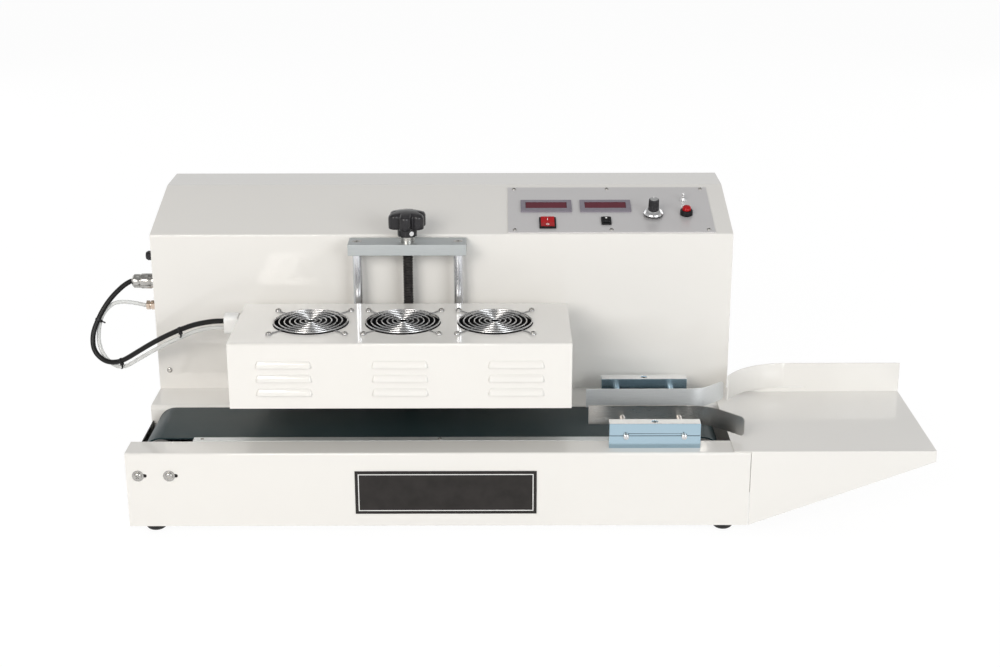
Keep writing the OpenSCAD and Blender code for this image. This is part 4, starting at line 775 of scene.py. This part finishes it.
def threaded():
    """Lift screw with a trapezoidal thread."""
    sides, step = 36, 0.5
    rows = int((HUB_Z - SCREW_FOOT_Z) / step) + 1
    verts = []
    for i in range(rows):
        z = SCREW_FOOT_Z + i * step
        for k in range(sides):
            a = 2 * math.pi * k / sides
            turn = (z / THREAD_LEAD - k / sides) % 1.0
            depth = min(max((abs(turn - 0.5) - THREAD_CREST) / THREAD_FLANK, 0.0), 1.0)
            r = SCREW_R - THREAD_DEPTH * depth
            verts.append(place(LIFT_X + r * math.cos(a), LIFT_Y + r * math.sin(a), z))
    obj = add_mesh("lift_thread", verts, row_faces(rows, sides), 60)
    obj.data.materials.append(BLACK_STEEL_AND_SHADE)
    return obj


for piece, node, slot in ((star(), "star_knob", "black_gloss"), (threaded(), "lift_screw", "black_steel")):
    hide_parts(node)
    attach(piece, "lift_knob")


# Speed knob: bright skirt, ribbed grip and a spun cap

DIAL_FOOT = [(4.8, 4.0), (14.4, 4.0), (14.8, 4.4), (14.8, 5.4), (4.8, 5.6)]
DIAL_SKIRT = [(4.8, 5.4), (14.6, 5.4), (15.0, 6.0), (14.7, 7.0), (12.4, 9.4), (9.8, 11.4), (8.8, 11.8),
              (4.8, 11.8)]
DIAL_GRIP = [(4.0, 11.4), (8.1, 11.4), (8.1, 12.4), (7.6, 27.4), (7.2, 28.6), (6.4, 29.2), (4.0, 29.2)]
DIAL_CAP = [(0.6, 29.2), (6.2, 29.2), (6.2, 29.35), (5.8, 29.45), (0.6, 29.4)]
DIAL_RIBS = 24
RIB_DEPTH = 0.5


def ribbed(r, a):
    """The grip's side with its ribs; other radii stay as they are."""
    return r - RIB_DEPTH * (0.5 + 0.5 * math.cos(DIAL_RIBS * a)) if 7.0 < r < 8.2 else r


def speed():
    pile = Pile()
    spot = at_panel(*SPEED_AT, 0)
    pile.add(spot, lathe(DIAL_FOOT, 64), 0)
    pile.add(spot, lathe(DIAL_SKIRT, 64), 1)
    pile.add(spot, lathe(DIAL_GRIP, 192, ribbed), 0)
    pile.add(spot, lathe(DIAL_CAP, 64), 1)
    pile.add(spot, box_form(-0.5, 0.5, 2.2, 6.9, 29.1, 29.5), 2)
    return pile.make("speed_dial", [BLACK, CHROME, LINE])


speed_dial = speed()
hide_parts("speed_knob")
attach(speed_dial, "speed_knob")


# Toggle: bush with its nut and washer, and the lever

TOGGLE_CASE = box_form(-4.0, 4.0, -6.5, 6.5, -10.0, 0.0)
TOGGLE_WASHER = [(3.0, 0.0), (3.0, 1.5), (5.7, 1.5), (5.9, 1.7), (5.9, 2.0), (5.6, 2.2), (3.0, 2.2)]
TOGGLE_NUT = [(3.0, 2.2), (4.9, 2.2), (5.2, 2.5), (5.2, 3.7), (4.8, 4.2), (3.0, 4.2)]
BAT = [(0.6, -2.0), (1.6, -1.4), (2.0, -0.2), (1.5, 1.3), (1.6, 2.6), (2.0, 4.6), (2.3, 6.6), (2.2, 7.7),
       (1.6, 8.6), (0.6, 8.95)]
BAT_RISE = 4.0
BAT_LEAN = math.radians(-12)


def toggle():
    pile = Pile()
    spot = at_panel(*TOGGLE_AT, 0)
    pile.add(spot, TOGGLE_CASE)
    pile.add(spot, lathe(TOGGLE_WASHER, 48))
    pile.add(spot, lathe(TOGGLE_NUT, 6))
    ridges = [(3.0 - 0.22 * (i % 2), 4.2 + 0.35 * i) for i in range(7)]
    pile.add(spot, lathe([*ridges, (2.75, 6.8), (2.4, 6.8), (2.4, 4.4)], 32))
    return pile.make("toggle_bush", [SATIN])


def bat_lever():
    pile = Pile()
    spot = at_panel(*TOGGLE_AT, PANEL_T + BAT_RISE) @ Matrix.Rotation(BAT_LEAN, 4, "X")
    pile.add(spot, lathe(BAT, 32))
    return pile.make("bat_lever", [CHROME], 60)


for piece, node, body in ((toggle(), "toggle_body", "frame"), (bat_lever(), "toggle_lever", "toggle_lever")):
    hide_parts(node)
    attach(piece, body)


# Small end screws in the front guide's rods

ROD_XS = (689, 769)
ROD_END_Y = 13.0
ROD_Z = BASE_H + 18


def rod_ends():
    pile = Pile()
    head = pan_head(3.9, 2.0)
    for x in ROD_XS:
        pile.add(at(x, ROD_END_Y, ROD_Z, FACING_FRONT @ Matrix.Rotation(x, 3, "Z")), head)
    return pile.make("rod_end_screws", [CHROME])


rod_end_screws = rod_ends()
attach(rod_end_screws, "front_guide")


# Domed cap of the push button

CAP = [(6.6, -5.0), (6.6, 11.4), (6.5, 12.6), (6.1, 13.7), (5.3, 14.6), (4.0, 15.2), (2.2, 15.45),
       (0.4, 15.5)]


def dome():
    pile = Pile()
    pile.add(at_panel(*BUTTON_AT, 0), lathe(CAP, 64))
    return pile.make("button_cap", [RED], 60)


button_cap = dome()
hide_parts("push_button")
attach(button_cap, "push_button")


# Small marks: the rockers' signs and the border of the bare plate

ROCKER_TILT = math.radians(8)
MODE_LEAN = math.atan2(2.0, 6.6)
POWER_LEAN = math.atan2(2.0, 11.6)
MODE_MARK = (0, 4.2, 3.83)
POWER_MARK_OFF = 6.2
POWER_MARK_Z = 3.57
PLATE_AT = (315, -1, 18.5)
PLATE_SIZE = (251.0, 64.0)
BORDER_IN = 4.4
BORDER_WIDE = 1.2
BORDER_PROUD = 0.08
BORDER_SUNK = 0.2


def on_rocker(where, mark, lean):
    """Matrix to a mark on one half of a rocker's face."""
    spot = at_panel(*where, PANEL_T) @ Matrix.Rotation(ROCKER_TILT, 4, "X")
    return spot @ Matrix.Translation(mark) @ Matrix.Rotation(lean, 4, "X")


def dot():
    pile = Pile()
    pile.add(on_rocker(MODE_AT, MODE_MARK, MODE_LEAN), lathe([(1.3, -0.3), (1.3, 0.12), (1.1, 0.2)], 24))
    return pile.make("rocker_dot", [LINE])


def on_and_off():
    pile = Pile()
    upper = on_rocker(POWER_AT, (0, POWER_MARK_OFF, POWER_MARK_Z), POWER_LEAN)
    lower = on_rocker(POWER_AT, (0, -POWER_MARK_OFF, POWER_MARK_Z), -POWER_LEAN)
    pile.add(upper, box_form(-0.45, 0.45, -2.2, 2.2, -0.3, 0.1))
    pile.add(lower, ring_wire(2.0, 0.4, 40))
    return pile.make("rocker_signs", [LINE])


def border():
    """A thin raised line round the plate: front and back rows of an outer and an inner rectangle."""
    width, height = PLATE_SIZE
    verts, faces = [], []
    for y in (-BORDER_PROUD, BORDER_SUNK):
        for inset in (BORDER_IN, BORDER_IN + BORDER_WIDE):
            right, top = width - inset, height - inset
            verts += [(inset, y, inset), (right, y, inset), (right, y, top), (inset, y, top)]
    for k in range(4):
        m = (k + 1) % 4
        faces += [(k, m, 4 + m, 4 + k), (8 + m, 8 + k, 12 + k, 12 + m)]
        faces += [(m, k, 8 + k, 8 + m), (4 + k, 4 + m, 12 + m, 12 + k)]
    pile = Pile()
    pile.add(at(*PLATE_AT), (verts, faces))
    return pile.make("plate_border", [LINE])


for piece, body in ((dot(), "mode_rocker"), (on_and_off(), "power_rocker"), (border(), "frame")):
    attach(piece, body)


# Floor, backdrop and light

FLOOR_HALF = 9
FLOOR_GLOW = 1.08
FLOOR_GLOW_SHARE = 0.86
SKY_LIGHT = 0.38
SKY_LOW = 0.85
SKY_HIGH = 0.4
MACHINE_MIDDLE = (0, 0, 0.15)
FRONT_LAMP = (1.8, 1.4)
BACK_LAMP = (2.4, 2.4)
WHITE = (1, 1, 1)


def floor_material():
    made, tree, shader = new_material("pale_floor")
    shader.inputs["Base Color"].default_value = (0.75, 0.75, 0.75, 1)
    shader.inputs["Roughness"].default_value = 0.6
    glow = tree.nodes.new("ShaderNodeEmission")
    glow.inputs["Color"].default_value = (1, 1, 1, 1)
    glow.inputs["Strength"].default_value = FLOOR_GLOW
    path = tree.nodes.new("ShaderNodeLightPath")
    seen = path.outputs["Is Camera Ray"]
    for ray in ("Is Glossy Ray", "Is Transmission Ray"):
        either = tree.nodes.new("ShaderNodeMath")
        either.operation = "MAXIMUM"
        tree.links.new(seen, either.inputs[0])
        tree.links.new(path.outputs[ray], either.inputs[1])
        seen = either.outputs["Value"]
    share = tree.nodes.new("ShaderNodeMath")
    share.operation = "MULTIPLY"
    share.inputs[1].default_value = FLOOR_GLOW_SHARE
    mix = tree.nodes.new("ShaderNodeMixShader")
    tree.links.new(seen, share.inputs[0])
    tree.links.new(share.outputs["Value"], mix.inputs[0])
    tree.links.new(shader.outputs[0], mix.inputs[1])
    tree.links.new(glow.outputs[0], mix.inputs[2])
    tree.links.new(mix.outputs[0], tree.nodes["Material Output"].inputs["Surface"])
    return made


floor_corners = [(x * FLOOR_HALF, y * FLOOR_HALF, 0) for x, y in ((-1, -1), (1, -1), (1, 1), (-1, 1))]
floor = add_mesh("floor", floor_corners, [(0, 1, 2, 3)])
floor.data.materials.append(floor_material())

world = bpy.data.worlds.new("studio")
SCENE.world = world
world.use_nodes = True
sky_nodes, sky_links = world.node_tree.nodes, world.node_tree.links


def sky_math(operation, one, two):
    node = sky_nodes.new("ShaderNodeMath")
    node.operation = operation
    for i, value in enumerate((one, two)):
        if isinstance(value, float):
            node.inputs[i].default_value = value
        else:
            sky_links.new(value, node.inputs[i])
    return node.outputs["Value"]


def sky_level():
    """White to the camera, pale near the horizon and dimmer overhead in reflections, plain for the light."""
    path = sky_nodes.new("ShaderNodeLightPath")
    where = sky_nodes.new("ShaderNodeTexCoord")
    parts = sky_nodes.new("ShaderNodeSeparateXYZ")
    sky_links.new(where.outputs["Generated"], parts.inputs[0])
    height = sky_nodes.new("ShaderNodeMapRange")
    sky_links.new(parts.outputs["Z"], height.inputs["Value"])
    height.inputs["From Min"].default_value = 0.0
    height.inputs["From Max"].default_value = 0.7
    height.inputs["To Min"].default_value = SKY_LOW
    height.inputs["To Max"].default_value = SKY_HIGH
    mirrored = sky_math("MAXIMUM", path.outputs["Is Glossy Ray"], path.outputs["Is Transmission Ray"])
    seen = sky_math("MULTIPLY", mirrored, height.outputs["Result"])
    lit = sky_math("MULTIPLY", sky_math("SUBTRACT", 1.0, mirrored), SKY_LIGHT)
    both = sky_math("ADD", seen, lit)
    return sky_math("MAXIMUM", both, path.outputs["Is Camera Ray"])


sky = sky_nodes["Background"]
sky.inputs["Color"].default_value = (1, 1, 1, 1)
sky_links.new(sky_level(), sky.inputs["Strength"])


def lamp(name, where, target, size, power, color):
    data = bpy.data.lights.new(name, "AREA")
    data.shape = "RECTANGLE"
    data.size, data.size_y = size
    data.energy = power
    data.color = color
    obj = bpy.data.objects.new(name, data)
    obj.location = where
    obj.rotation_euler = (Vector(target) - Vector(where)).to_track_quat("-Z", "Y").to_euler()
    SCENE.collection.objects.link(obj)


lamp("key", (-1.5, -3.2, 1.75), MACHINE_MIDDLE, FRONT_LAMP, 66, (1, 0.96, 0.91))
lamp("fill", (2.0, -3.0, 1.35), MACHINE_MIDDLE, FRONT_LAMP, 45, (0.96, 0.985, 1))
lamp("top", (0.1, 0.3, 2.8), (0, 0, 0.2), (2.4, 1.6), 4, WHITE)
lamp("back_left", (-2.6, 2.4, 1.5), MACHINE_MIDDLE, BACK_LAMP, 17, WHITE)
lamp("back_right", (2.6, 2.4, 1.5), MACHINE_MIDDLE, BACK_LAMP, 17, WHITE)

SCENE.view_settings.view_transform = "Standard"
